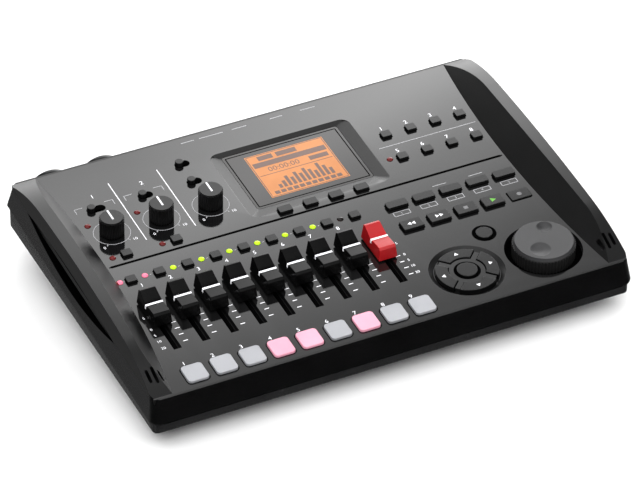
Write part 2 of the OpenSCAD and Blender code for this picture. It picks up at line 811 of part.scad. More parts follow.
module cursor_ring() {
    inner = arrow_d / 2 - 1;
    at([cursor_x, cursor_y]) rotate_extrude() polygon([
        [inner, -dish_depth], [arrow_d / 2 + 2 * key_fit, -dish_depth],
        [dish_d / 2, 0], [dish_d / 2, 1], [inner, 1]
    ]);
}
module key_hole(p, w, d, r) {
    translate(p) rounded(w + 2 * key_fit, d + 2 * key_fit, r + key_fit);
}
module deck_holes() {
    for (p = status_keys_at) key_hole(p, small_w, small_d, small_r);
    for (p = input_keys_at) key_hole(p, small_w, small_d, small_r);
    for (p = function_keys_at) key_hole(p, small_w, small_d, small_r);
    for (p = soft_keys_at) key_hole(p, soft_w, small_d, small_r);
    for (p = marker_keys_at) key_hole(p, wide_w, marker_d, wide_r);
    for (i = [0 : keys_per_row - 1]) key_hole([wide_x(i), transport_y], wide_w, transport_d, wide_r);
    for (i = [0 : tracks - 1]) key_hole([track_x(i), pad_y], pad_w, pad_d, pad_r);
    for (i = [0 : tracks - 1])
        translate([track_x(i) - slot_w / 2, slot_y0]) square([slot_w, slot_y1 - slot_y0]);
    for (p = lamps_at) translate(p) circle(d = lamp_d + 2 * lamp_fit);
    for (s = slides) translate([s.x, s.y]) stadium(s.z, slide_d + 2 * slide_fit);
    for (i = [0 : 2]) translate([knob_x(i), knob_y]) circle(spindle_r + key_fit);
    for (i = [0 : 3]) translate([cursor_x, cursor_y]) rotate(arrow_turn + 90 * i) arrow_sector(key_fit);
    translate([cursor_x, cursor_y]) circle(d = enter_recess_d);
    translate([exit_x, exit_y]) circle(d = exit_recess_d);
    translate([window_x, window_y])
        rounded(window_w + 2 * window_fit, window_d + 2 * window_fit, window_r + window_fit);
}
module deck_plate() {
    half = deck_half_w - deck_fit;
    y0 = deck_front + lip + deck_fit;
    y1 = deck_rear - lip - deck_fit;
    prism(-deck_t, 0) difference() {
        translate([-half, y0]) square([2 * half, y1 - y0]);
        deck_holes();
    }
}
module deck_panel() {
    color("#3a3a3d") on_deck() difference() {
        union() {
            deck_plate();
            at([dial_x, dial_y]) prism(cup_low, -deck_t + eps) circle(d = moat_d + 2 * cup_wall);
            for (p = posts_at) at(p) prism(board_z, -deck_t + eps) circle(post_r);
        }
        well_cut();
        cursor_ring();
        at([dial_x, dial_y]) prism(-moat_depth, past) circle(d = moat_d);
        at([dial_x, dial_y]) prism(-past, past) circle(spindle_r + key_fit);
        translate([-rail_foot + lip, deck_rear - groove_from_rear, -groove_depth])
            cube([2 * (rail_foot - lip), groove_w, past]);
    }
}
module display_window() {
    color("#2b2018") on_deck() at([window_x, window_y])
        prism(-deck_t, -well_depth) rounded(window_w, window_d, window_r);
}
module display_module() {
    color("#f0a868") on_deck() at([window_x, window_y])
        prism(board_z, -deck_t) square([module_w, module_d], center = true);
}

// Lower case, level at the bottom
function to_deck(y, z) = [
    (y - y_shift) * cos(deck_tilt) + (z - deck_z) * sin(deck_tilt),
    (z - deck_z) * cos(deck_tilt) - (y - y_shift) * sin(deck_tilt)
];
module lower_form(inset) {
    edge = seam_step + inset;
    intersection() {
        prism(-2 * past, -upper_h) rounded(case_w - 2 * edge, case_d - 2 * edge, corner_r - seam_step);
        along_x(case_w) polygon([
            [-half_d + edge, -upper_h],
            [-half_d + edge + band_h * tan(lower_draft), -upper_h - band_h],
            to_deck(flat_front + inset, bottom_z + inset),
            to_deck(flat_rear - inset, bottom_z + inset),
            [half_d - edge - rear_band * tan(lower_draft / 2), inset - upper_h - rear_band],
            [half_d - edge, -upper_h]
        ]);
        translate([0, -half_d, -upper_h]) rotate([-band_tilt, 0, 0]) translate([0, half_d, 0])
            along_y(2 * case_d) side_hull(half_w - edge);
    }
}
module side_hull(half) {
    lean = half - band_h * tan(lower_draft);
    run = 2 * past;
    drop = band_h + run * tan(under_slope);
    polygon([
        [-half, past], [-half, 0], [-lean, -band_h], [-lean + run, -drop],
        [lean - run, -drop], [lean, -band_h], [half, 0], [half, past]
    ]);
}
module battery_bay() {
    half = door_w / 2 + wall;
    y0 = door_front - wall;
    y1 = flat_rear + wall;
    top = bay_low + bay_h;
    difference() {
        translate([-half, y0, bottom_z + wall / 2])
            cube([2 * half, y1 - y0, top + wall - bottom_z - wall / 2]);
        translate([-door_w / 2 + bay_lap, door_front + bay_lap, bottom_z])
            cube([door_w - 2 * bay_lap, bay_rear - door_front - bay_lap, top - bottom_z]);
    }
}
module lower_case() {
    color("#232326") difference() {
        union() {
            on_deck() difference() {
                lower_form(0);
                intersection() {
                    lower_form(wall);
                    translate([-case_w, -case_d, -3 * past])
                        cube([2 * case_w, case_d + cavity_rear, 3 * past]);
                }
                rear_window();
            }
            battery_bay();
        }
        translate([-door_w / 2 - door_fit, door_front - door_fit, 0])
            cube([door_w + 2 * door_fit, door_l + door_fit + past, bay_low]);
        feet(foot_seat, 2 * door_fit);
    }
}
module feet(seat, extra) {
    for (x = [-foot_x, foot_x], y = [foot_y0, foot_y1])
        translate([x, y, 0]) cylinder(d = foot_d + extra, h = foot_h + seat);
}
module rubber_feet() {
    color("#141414") feet(foot_seat, 0);
}
module battery_door() {
    color("#262629") difference() {
        translate([-door_w / 2, door_front, bottom_z]) cube([door_w, door_l, wall]);
        for (i = [0 : 4]) translate([-grip_l / 2, door_rear - 6 - 2.4 * i, bottom_z - eps])
            cube([grip_l, 1.2, wall / 3]);
    }
}

// Boards and what stands on them
module main_board() {
    rear = panel_y - panel_t - board_gap;
    field = rear - max(combo_l, phone_l);
    x1 = cavity_half_w - board_gap;
    left_tab = combo_x(1) + combo_w / 2 + board_gap;
    color("#1f4d2c") on_deck() prism(board_z - board_t, board_z) {
        translate([-x1, cavity_front + board_gap]) square([2 * x1, field - cavity_front - board_gap]);
        translate([left_tab, 0]) square([phone_xs[0] - phone_w / 2 - 1 - left_tab, rear - 6]);
        translate([panel_x1 + board_gap, 0]) square([x1 - panel_x1 - board_gap, rear]);
    }
}
module socket_body(p, w, d, top) {
    difference() {
        at(p) prism(board_z, top) square([w, d], center = true);
        at(p) prism(socket_floor, past) children();
    }
}
module potentiometers() {
    color("#5b5b60") on_deck() {
        pot_l = slot_y1 - slot_y0 + pot_ends;
        back = panel_y - panel_t;
        slot_mid = (slot_y0 + slot_y1) / 2;
        for (i = [0 : tracks - 1]) socket_body([track_x(i), slot_mid], pot_w, pot_l, pot_top)
            square([lever_w + 2 * plunger_fit, slot_y1 - slot_y0], center = true);
        for (i = [0 : 2]) socket_body([knob_x(i), knob_y], rotary_w, rotary_w, pot_top)
            circle(spindle_r + plunger_fit);
        socket_body([dial_x, dial_y], rotary_w + 2, rotary_w + 2, cup_low) circle(spindle_r + plunger_fit);
        translate([volume_x, 0, -phone_drop]) difference() {
            rearward(back - volume_pot_l, back) square(phone_w - 1, center = true);
            rearward(back - volume_pot_l + back_wall, panel_y) circle(volume_spindle_r + plunger_fit);
        }
    }
}
module switch_bodies() {
    color("#2e2e33") on_deck() {
        places = concat(
            status_keys_at, input_keys_at, soft_keys_at, function_keys_at, marker_keys_at,
            [for (i = [0 : keys_per_row - 1]) [wide_x(i), transport_y]],
            [for (i = [0 : tracks - 1]) [track_x(i), pad_y]],
            [[exit_x, exit_y], [cursor_x, cursor_y]],
            [for (i = [0 : 3]) arrow_plunger(i)]
        );
        for (p = places) socket_body(p, switch_w, switch_w, switch_top) circle(plunger_r + plunger_fit);
        for (s = slides) socket_body(s, s.z + slide_body, switch_w, switch_top)
            stadium(s.z, 2 * (slide_stem_r + plunger_fit));
        back = panel_y - panel_t;
        slot = [power_throw + power_w + 2 * plunger_fit, power_w / 2 + 2 * plunger_fit];
        translate([power_x, 0, -phone_drop]) difference() {
            rearward(back - power_body.y, back)
                square([power_throw + power_body.x, power_body.z], center = true);
            rearward(back - power_body.y + back_wall, panel_y) square(slot, center = true);
        }
    }
}
module indicator_lamps() {
    dome_r = (lamp_d * lamp_d / 4 + lamp_up * lamp_up) / (2 * lamp_up);
    color("#b8d820") on_deck() for (p = lamps_at) at(p) {
        prism(board_z, 0) circle(d = lamp_d);
        intersection() {
            prism(-eps, lamp_up) circle(d = lamp_d);
            translate([0, 0, lamp_up - dome_r]) sphere(dome_r);
        }
    }
}

// Rear and side connectors
module rear_panel() {
    color("#202023") on_deck() difference() {
        translate([panel_x0, panel_y - panel_t, panel_low])
            cube([panel_x1 - panel_x0, panel_t, panel_top - panel_low]);
        for (i = [0, 1]) translate([combo_x(i), 0, -combo_drop])
            rearward(0, case_d) circle(d = combo_nose_d + 2 * nose_fit);
        for (x = phone_xs) translate([x, 0, -phone_drop])
            rearward(0, case_d) circle(d = nose_d + 2 * nose_fit);
        translate([volume_x, 0, -phone_drop])
            rearward(0, case_d) circle(volume_spindle_r + key_fit);
        translate([power_x, 0, -phone_drop]) rearward(0, case_d)
            square([power_throw + power_w + 2 * key_fit, power_w + 2 * key_fit], center = true);
    }
}
module combo_jack() {
    back = panel_y - panel_t;
    face = half_d + jack_out;
    difference() {
        union() {
            rearward(back - combo_l, back) square([combo_w, combo_h], center = true);
            rearward(back - eps, face) circle(d = combo_nose_d);
        }
        rearward(face - ring_depth, face + eps) difference() {
            circle(d = combo_ring_d);
            circle(d = combo_core_d);
        }
        rearward(face - phone_depth, face + eps) circle(d = phone_bore);
    }
}
module combo_jacks() {
    color("#1a1a1c") on_deck() for (i = [0, 1]) translate([combo_x(i), 0, -combo_drop]) combo_jack();
}
module phone_jack() {
    back = panel_y - panel_t;
    difference() {
        union() {
            rearward(back - phone_l, back) square(phone_w, center = true);
            rearward(back - eps, phone_face) circle(d = nose_d);
            rearward(panel_y, panel_y + nut_t) circle(d = nut_w / cos(30), $fn = 6);
        }
        rearward(phone_face - phone_depth, phone_face + eps) circle(d = phone_bore);
    }
}
module phone_jacks() {
    color("#9a9a9e") on_deck() for (x = phone_xs) translate([x, 0, -phone_drop]) phone_jack();
}
// Sockets in the right cheek: memory card, data port and power inlet
module socket_shell(grow) {
    for (s = sockets) translate([cheek_x - 1 - socket_l, s.x - s.y / 2 - grow, board_z - grow])
        cube([socket_l + grow * past, s.y + 2 * grow, s.z + 2 * grow]);
}
module side_sockets() {
    color("#8f9094") on_deck() difference() {
        socket_shell(0);
        translate([cheek_x - card_depth / 2, card_y, board_z + sockets[0].z / 2])
            along_x(card_depth) square([card_w, card_t], center = true);
        translate([cheek_x - usb_depth / 2, usb_y, board_z + sockets[1].z / 2])
            along_x(usb_depth) square([usb_w, usb_h], center = true);
        translate([cheek_x - usb_depth / 2, dc_y, board_z + sockets[2].z / 2])
            along_x(usb_depth) circle(dc_r);
    }
}

// Keys
module status_keys() {
    color("#2a2a2d") on_deck() for (p = status_keys_at) plain_key(p, small_w, small_d, small_r, small_up);
}
module input_keys() {
    color("#2a2a2d") on_deck() for (p = input_keys_at) plain_key(p, small_w, small_d, small_r, small_up);
}
module soft_keys() {
    color("#2a2a2d") on_deck() for (p = soft_keys_at) plain_key(p, soft_w, small_d, small_r, small_up);
}
module function_keys() {
    color("#2a2a2d") on_deck() for (p = function_keys_at) plain_key(p, small_w, small_d, small_r, small_up);
}
module marker_keys() {
    color("#2a2a2d") on_deck() for (p = marker_keys_at) plain_key(p, wide_w, marker_d, wide_r, wide_up);
}
module transport_key(i) {
    up = i == keys_per_row - 1 ? record_up : wide_up;
    color("#2a2a2d") on_deck() plain_key([wide_x(i), transport_y], wide_w, transport_d, wide_r, up);
}
module pad(i) {
    lit = i == 3 || i == 4 || i == 6;
    color(lit ? "#f7a9c0" : "#cfd0d6") on_deck()
        plain_key([track_x(i), pad_y], pad_w, pad_d, pad_r, pad_up);
}
module exit_key() {
    color("#2a2a2d") on_deck() round_key([exit_x, exit_y], exit_d, exit_recess_d + 2 * key_flange, exit_up);
}
module enter_key() {
    color("#2a2a2d") on_deck()
        round_key([cursor_x, cursor_y], enter_d, enter_recess_d + 2 * key_flange, enter_up);
}
function arrow_plunger(i) = [
    cursor_x + (arrow_d + arrow_in_d) / 4 * cos(arrow_turn + 90 * i),
    cursor_y + (arrow_d + arrow_in_d) / 4 * sin(arrow_turn + 90 * i)
];
module arrow_key(i) {
    color("#232325") on_deck() {
        at([cursor_x, cursor_y]) rotate(arrow_turn + 90 * i) {
            prism(flange_low, arrow_up) arrow_sector(0);
            prism(flange_low, flange_top) arrow_sector(key_flange);
        }
        at(arrow_plunger(i)) prism(plunger_low, flange_low + eps) circle(plunger_r);
    }
}

// Rotary controls
module knob(i) {
    color("#151517") on_deck() at([knob_x(i), knob_y]) {
        prism(knob_gap, knob_h - knob_rim) fluted(knob_d / 2, knob_flutes, flute_r);
        prism(knob_h - knob_rim - eps, knob_h) circle(knob_d / 2 - flute_r - 0.15);
        prism(socket_floor + 0.2, knob_gap + eps) circle(spindle_r);
    }
}
module jog_dial() {
    top_r = dial_d / 2 - notch_r - 0.15;
    face_r = top_r - 0.6;
    skirt = dial_h - dial_rim;
    low = 0.3 - moat_depth;
    color("#4a4a4c") on_deck() at([dial_x, dial_y]) {
        prism(low, skirt) fluted(dial_d / 2, dial_notches, notch_r);
        difference() {
            translate([0, 0, skirt - eps]) cylinder(h = dial_rim + eps, r1 = top_r, r2 = face_r);
            dimple([-dial_d * 0.15, -dial_d * 0.18], dimple_d);
            rotate(62) dimple([face_r - small_dimple_d / 2 - 0.4, 0], small_dimple_d);
        }
        prism(socket_floor + 0.2, low + eps) circle(spindle_r);
    }
}
module dimple(p, d) {
    ball_r = (d * d / 4 + dimple_depth * dimple_depth) / (2 * dimple_depth);
    translate([p.x, p.y, dial_h - dimple_depth + ball_r]) sphere(ball_r);
}
module volume_knob() {
    color("#151517") on_deck() translate([volume_x, 0, -phone_drop]) {
        rearward(panel_y + knob_gap, half_d + jack_out - 2) fluted(volume_d / 2, 20, flute_r);
        rearward(panel_y - panel_t - volume_pot_l + 2 * back_wall, panel_y + knob_gap + eps)
            circle(volume_spindle_r);
    }
}

// Sliding controls
module fader(i) {
    front_h = cap_h - cap_step;
    valley_h = front_h - cap_valley;
    half = cap_l / 2;
    lean = cap_h * tan(cap_draft);
    color(i == tracks - 1 ? "#d2222a" : "#131315") on_deck() translate([track_x(i), fader_y, 0]) {
        intersection() {
            along_x(cap_w) polygon([
                [-half, cap_gap], [-half + lean, front_h - 1], [-half + lean + 1, front_h],
                [-half / 3, front_h - cap_valley / 3], [0, valley_h], [half / 3, valley_h + cap_valley],
                [half - lean - 1.6, cap_h], [half - lean, cap_h - 0.5], [half, cap_gap]
            ]);
            along_y(cap_l) polygon([
                [-cap_w / 2, cap_gap], [cap_w / 2, cap_gap],
                [cap_w / 2 - lean, cap_h], [-cap_w / 2 + lean, cap_h]
            ]);
        }
        translate([-lever_w / 2, -lever_l / 2, socket_floor + 0.4])
            cube([lever_w, lever_l, cap_gap + 0.6 - socket_floor]);
    }
}
module slide_switch(i) {
    s = slides[i];
    color("#1a1a1c") on_deck() at([s.x - s.z / 2, s.y]) {
        prism(flange_low, slide_up) circle(d = slide_d);
        prism(flange_low, flange_top) circle(d = slide_d + 2 * key_flange);
        prism(plunger_low, flange_low + eps) circle(slide_stem_r);
    }
}
module power_switch() {
    color("#1a1a1c") on_deck() translate([power_x - power_throw / 2, 0, -phone_drop]) {
        rearward(panel_y - panel_t + 0.2, panel_y + 2.4) square(power_w, center = true);
        rearward(panel_y - panel_t - power_stem_l, panel_y) square([power_w, power_w / 2], center = true);
    }
}

upper_case();
deck_panel();
side_rails();
lower_case();
rear_panel();
display_window();
display_module();
main_board();
potentiometers();
switch_bodies();
combo_jacks();
phone_jacks();
side_sockets();
rubber_feet();
indicator_lamps();
battery_door();
status_keys();
input_keys();
soft_keys();
function_keys();
marker_keys();
exit_key();
enter_key();
jog_dial();
volume_knob();
power_switch();
for (i = [0 : 3]) arrow_key(i);
for (i = [0 : keys_per_row - 1]) transport_key(i);
for (i = [0 : 2]) knob(i);
for (i = [0 : 3]) slide_switch(i);
for (i = [0 : tracks - 1]) fader(i);
for (i = [0 : tracks - 1]) pad(i);
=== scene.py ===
import math

import bmesh
import bpy
from mathutils import Matrix, Vector


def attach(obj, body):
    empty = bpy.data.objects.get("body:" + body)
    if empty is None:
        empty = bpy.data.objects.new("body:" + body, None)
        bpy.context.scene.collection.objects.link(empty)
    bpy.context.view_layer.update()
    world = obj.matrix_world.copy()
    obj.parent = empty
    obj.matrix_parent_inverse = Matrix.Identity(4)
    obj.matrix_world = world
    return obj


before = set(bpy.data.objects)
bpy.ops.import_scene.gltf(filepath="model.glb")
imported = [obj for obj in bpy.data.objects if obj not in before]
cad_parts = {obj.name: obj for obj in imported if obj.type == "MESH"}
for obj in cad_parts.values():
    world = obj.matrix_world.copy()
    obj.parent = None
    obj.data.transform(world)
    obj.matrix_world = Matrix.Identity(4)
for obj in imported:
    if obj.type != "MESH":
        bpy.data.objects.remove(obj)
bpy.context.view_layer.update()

# Lengths below are in millimetres, in the deck's own frame: X right, Y up the slope, Z out of the deck
MM = 0.001
DECK_ORIGIN = Vector((0, -4.0587, 36.9076))
DECK_TURN = Matrix.Rotation(math.radians(6), 4, "X")
DECK_UP = DECK_TURN.to_3x3() @ Vector((0, 0, 1))
TO_SCENE = Matrix.Scale(MM, 4) @ Matrix.Translation(DECK_ORIGIN) @ DECK_TURN
# The underside is level, and its pieces are placed from the floor up
FROM_FLOOR = Matrix.Scale(MM, 4)
# Marks on the rear face are drawn as seen from behind
REAR_Y = 87.5
TO_REAR = TO_SCENE @ Matrix(((-1, 0, 0, 0), (0, 0, 1, REAR_Y), (0, 1, 0, 0), (0, 0, 0, 1)))
# Turns a piece made around Z so that its axis lies along Y
ALONG_Y = Matrix(((0, 1, 0, 0), (0, 0, 1, 0), (1, 0, 0, 0), (0, 0, 0, 1)))

# Rows and columns of the deck's controls
TRACK_XS = [-100.6 + 14.97 * i for i in range(9)]
KNOB_XS = [-95.1 + 26.5 * i for i in range(3)]
WIDE_XS = [41.2 + 14.8 * i for i in range(5)]
FUNCTION_XS = [60.7 + 13.8 * i for i in range(4)]
FADER_Y, PAD_Y, STATUS_Y, MARKER_Y, TRANSPORT_Y = -31.4, -79.4, -4.1, -5.4, -22.7
KNOB_Y, INPUT_KEY_Y, FUNCTION_YS = 33.4, 15.2, (47.2, 28.0)
CURSOR, CURSOR_R, DIAL, WINDOW = (50.8, -64.5), 12.5, (92.0, -65.5), (10.3, 44.35)
GROOVE_Y, GROOVE_END = 8.95, 106.0
# Sockets and controls of the rear face
PHONE_XS, VOLUME_X, POWER_X, COMBO_XS = (-30, -12, 24, 61.7), 43, 81.7, (-102.6, -74.9)
REAR_Z, COMBO_Z = -12.83, -16.4
# Heights of the faces that carry marks, and how far a mark stands off its face
KEY_TOP, RECORD_TOP, ARROW_TOP, KNOB_TOP, VOLUME_TOP = 1.8, 0.7, 0.6, 10, 7.5
WINDOW_TOP, GROOVE_BED, MOAT_BED, MESH_TOP = -1.8, -0.56, -3.2, 0.6
SCREW_FACE, DOOR_FACE = 3.4, 4.0
INK = 0.04

FADERS = [f"fader_{i}" for i in range(1, 9)] + ["master_fader"]
PADS = [f"pad_{i}" for i in range(1, 10)]
LIT_PADS = ("pad_4", "pad_5", "pad_7")
KNOBS = ["gain_knob_1", "gain_knob_2", "balance_knob"]
KEY_ROWS = ["status_keys", "input_keys", "soft_keys", "function_keys", "marker_keys"]
TRANSPORT = ["rewind_key", "forward_key", "stop_key", "play_key", "record_key"]
ARROWS = ["right_key", "up_key", "left_key", "down_key"]
SLIDES = ["input_switch_1", "input_switch_2", "phantom_switch", "metronome_switch", "power_switch"]

# Materials
CLOUD_SCALE, CLOUD_DARK, CLOUD_LIGHT = 55.0, 0.3, 0.7
EDGE_START, EDGE_END, EDGE_SHARE = 0.55, 0.70, 0.6
RELIEF = 0.0002


def link_noise(nodes, links, coords, scale, detail):
    """Noise over the object's own coordinates."""
    noise = nodes.new("ShaderNodeTexNoise")
    noise.inputs["Scale"].default_value = scale
    noise.inputs["Detail"].default_value = detail
    links.new(coords.outputs["Object"], noise.inputs["Vector"])
    return noise


def plastic(name, dark, light, rough, spread=0.05, grain=2600.0, bump=0.02, specular=0.5, wear=1.8, glow=0.0):
    """Moulded plastic: a mottled colour, lighter along edges, a wandering roughness and a fine grain."""
    material = bpy.data.materials.new(name)
    material.use_nodes = True
    nodes, links = material.node_tree.nodes, material.node_tree.links
    shader = nodes["Principled BSDF"]
    coords = nodes.new("ShaderNodeTexCoord")
    cloud = link_noise(nodes, links, coords, CLOUD_SCALE, detail=4.0)
    ramp = nodes.new("ShaderNodeValToRGB")
    for element, place, tone in zip(ramp.color_ramp.elements, (CLOUD_DARK, CLOUD_LIGHT), (dark, light)):
        element.position = place
        element.color = (*tone, 1)
    links.new(cloud.outputs["Fac"], ramp.inputs["Fac"])
    point = nodes.new("ShaderNodeNewGeometry")
    rub = nodes.new("ShaderNodeMapRange")
    rub.inputs["From Min"].default_value = EDGE_START
    rub.inputs["From Max"].default_value = EDGE_END
    rub.inputs["To Max"].default_value = EDGE_SHARE
    links.new(point.outputs["Pointiness"], rub.inputs["Value"])
    colour = nodes.new("ShaderNodeMix")
    colour.data_type = "RGBA"
    colour.inputs["B"].default_value = (*(min(1.0, c * wear) for c in light), 1)
    links.new(rub.outputs["Result"], colour.inputs["Factor"])
    links.new(ramp.outputs["Color"], colour.inputs["A"])
    links.new(colour.outputs["Result"], shader.inputs["Base Color"])
    wander = nodes.new("ShaderNodeMapRange")
    wander.inputs["To Min"].default_value = rough - spread
    wander.inputs["To Max"].default_value = rough + spread
    links.new(cloud.outputs["Fac"], wander.inputs["Value"])
    links.new(wander.outputs["Result"], shader.inputs["Roughness"])
    fine = link_noise(nodes, links, coords, grain, detail=2.0)
    relief = nodes.new("ShaderNodeBump")
    relief.inputs["Strength"].default_value = bump
    relief.inputs["Distance"].default_value = RELIEF
    links.new(fine.outputs["Fac"], relief.inputs["Height"])
    links.new(relief.outputs["Normal"], shader.inputs["Normal"])
    shader.inputs["Specular IOR Level"].default_value = specular
    # A glow suits screens, lamps and lit pads; on inks it is painted light.
    if glow:
        links.new(colour.outputs["Result"], shader.inputs["Emission Color"])
        shader.inputs["Emission Strength"].default_value = glow
    return material


def metal(name, dark, light, rough):
    """Metal with a wider wandering roughness."""
    material = plastic(name, dark, light, rough, spread=0.08, grain=900.0, bump=0.05)
    material.node_tree.nodes["Principled BSDF"].inputs["Metallic"].default_value = 1.0
    return material


def grey(a, b):
    """Dark and light tone of a slightly cool grey."""
    cool = 1.04
    return (a, a, a * cool), (b, b, b * cool)


# Surfaces that several materials share
SMOOTH = {"spread": 0.02, "bump": 0.0}
MOULDED = {"spread": 0.03, "grain": 420.0, "bump": 0.004}

PANEL = plastic("panel_gloss", *grey(0.003, 0.0045), 0.075, spread=0.02, grain=420.0, bump=0.004,
                specular=0.78)
CASE = plastic("case_gloss", *grey(0.0025, 0.004), 0.18, spread=0.03, grain=300.0, bump=0.004)
TRAY = plastic("tray_satin", *grey(0.011, 0.016), 0.26, spread=0.04, grain=700.0, bump=0.02)
RAIL = plastic("rail_satin", *grey(0.002, 0.0035), 0.34, specular=0.68, **MOULDED)
COLLAR = plastic("collar_satin", *grey(0.002, 0.0035), 0.36, **MOULDED)
KEY = plastic("key_satin", *grey(0.0025, 0.004), 0.22, grain=900.0, bump=0.01, specular=0.42)
CAP = plastic("cap_satin", *grey(0.0015, 0.0025), 0.22, grain=900.0, specular=0.18)
KNOB = plastic("knob_rubber", *grey(0.003, 0.005), 0.30, grain=900.0, bump=0.03, specular=0.5)
RED = plastic("cap_red", (0.35, 0.006, 0.009), (0.41, 0.010, 0.013), 0.30, wear=1.2)
PAD = plastic("pad_white", (0.30, 0.305, 0.325), (0.345, 0.35, 0.37), 0.42, bump=0.05, wear=1.1)
PAD_LIT = plastic("pad_pink", (0.64, 0.275, 0.36), (0.72, 0.33, 0.425), 0.42, bump=0.05, wear=1.1,
                  glow=0.25)
GLASS = plastic("window_dark", (0.006, 0.005, 0.005), (0.009, 0.007, 0.006), 0.07, **SMOOTH)
LCD = plastic("lcd_amber", (0.275, 0.098, 0.023), (0.325, 0.122, 0.033), 0.10, specular=0.3, wear=1.0,
              glow=1.1, **SMOOTH)
LCD_INK = plastic("lcd_ink", (0.07, 0.028, 0.016), (0.09, 0.038, 0.022), 0.12, glow=0.2, **SMOOTH)
BOARD = plastic("board_mask", (0.01, 0.09, 0.03), (0.02, 0.13, 0.05), 0.35)
INNER = plastic("inner_moulding", *grey(0.006, 0.009), 0.6, specular=0.2)
# Black that reflects nothing: painted shade in the scoops, the groove, the pad gaps, the dial's cup, the
# phone bores, the screws' crosses and under the upper case's edge; also the window's dark border.
VOID = plastic("shadow_gap", *grey(0.0005, 0.001), 0.7, specular=0.0)
NICKEL = metal("nickel", *grey(0.52, 0.66), 0.26)
RUBBER = plastic("foot_rubber", *grey(0.010, 0.018), 0.75, bump=0.2)
# The inks glow though print is no lamp: painted light that makes the white, grey and green print brighter
# than the lamps alone would.
INK_WHITE = plastic("ink_white", *grey(0.74, 0.80), 0.5, wear=1.1, glow=0.35)
INK_GREY = plastic("ink_grey", *grey(0.30, 0.36), 0.5, wear=1.1, glow=0.05)
SIGN_GREY = plastic("sign_grey", *grey(0.13, 0.16), 0.5, wear=1.1)
GREEN_INK = plastic("ink_green", (0.08, 0.31, 0.02), (0.10, 0.37, 0.03), 0.4, glow=0.25)
LED_PINK = plastic("led_pink", (0.66, 0.13, 0.22), (0.74, 0.18, 0.27), 0.2, bump=0.0, glow=0.45)
LED_LIME = plastic("led_lime", (0.36, 0.60, 0.006), (0.42, 0.68, 0.010), 0.2, bump=0.0, glow=0.45)
LED_OFF = plastic("led_off", (0.09, 0.008, 0.008), (0.14, 0.012, 0.012), 0.16, bump=0.0)
MESH = metal("mic_mesh", *grey(0.10, 0.30), 0.4)


def node_of_type(material, kind):
    """The material's first node of a kind."""
    return next(n for n in material.node_tree.nodes if n.type == kind)


def dial_material():
    """Matte grey top on a black notched skirt, told apart by the height above the deck."""
    skirt_top, skirt_black = 4.2, (0.012, 0.012, 0.012, 1)
    material = plastic("dial_matte", *grey(0.030, 0.040), 0.46, bump=0.08)
    nodes, links = material.node_tree.nodes, material.node_tree.links
    shader, top = nodes["Principled BSDF"], node_of_type(material, "MIX")
    height = nodes.new("ShaderNodeVectorMath")
    height.operation = "DOT_PRODUCT"
    height.inputs[1].default_value = DECK_UP
    links.new(node_of_type(material, "TEX_COORD").outputs["Object"], height.inputs[0])
    above = nodes.new("ShaderNodeMath")
    above.operation = "GREATER_THAN"
    above.inputs[1].default_value = (TO_SCENE @ Vector((*DIAL, skirt_top))).dot(DECK_UP)
    links.new(height.outputs["Value"], above.inputs[0])
    mix = nodes.new("ShaderNodeMix")
    mix.data_type = "RGBA"
    mix.inputs["A"].default_value = skirt_black
    links.new(above.outputs["Value"], mix.inputs["Factor"])
    links.new(top.outputs["Result"], mix.inputs["B"])
    links.new(mix.outputs["Result"], shader.inputs["Base Color"])
    return material


def dull_where(material, value, start, end, rough):
    """Brings the roughness to rough where a value passes from start to end."""
    nodes, links = material.node_tree.nodes, material.node_tree.links
    shader = nodes["Principled BSDF"]
    share = nodes.new("ShaderNodeMapRange")
    share.inputs["From Min"].default_value = start
    share.inputs["From Max"].default_value = end
    links.new(value, share.inputs["Value"])
    mix = nodes.new("ShaderNodeMix")
    mix.inputs["B"].default_value = rough
    links.new(share.outputs["Result"], mix.inputs["Factor"])
    links.new(shader.inputs["Roughness"].links[0].from_socket, mix.inputs["A"])
    links.new(mix.outputs["Result"], shader.inputs["Roughness"])


def dull_inner_slopes(material, rough):
    """The slopes of the rails that face the deck are duller than their crowns."""
    crown, slope = -0.025, -0.065
    nodes, links = material.node_tree.nodes, material.node_tree.links
    coords = node_of_type(material, "TEX_COORD")
    inward = nodes.new("ShaderNodeMath")
    inward.operation = "MULTIPLY"
    for output, socket in zip(("Object", "Normal"), inward.inputs):
        split = nodes.new("ShaderNodeSeparateXYZ")
        links.new(coords.outputs[output], split.inputs["Vector"])
        links.new(split.outputs["X"], socket)
    dull_where(material, inward.outputs["Value"], crown, slope, rough)


def dull_well_slopes(material, rough):
    """Faces that lean away from the deck's plane are duller than the deck."""
    flat, leaning = 0.995, 0.975
    nodes, links = material.node_tree.nodes, material.node_tree.links
    level = nodes.new("ShaderNodeVectorMath")
    level.operation = "DOT_PRODUCT"
    level.inputs[1].default_value = DECK_UP
    links.new(node_of_type(material, "TEX_COORD").outputs["Normal"], level.inputs[0])
    dull_where(material, level.outputs["Value"], flat, leaning, rough)


dull_inner_slopes(RAIL, rough=0.45)
dull_well_slopes(PANEL, rough=0.4)

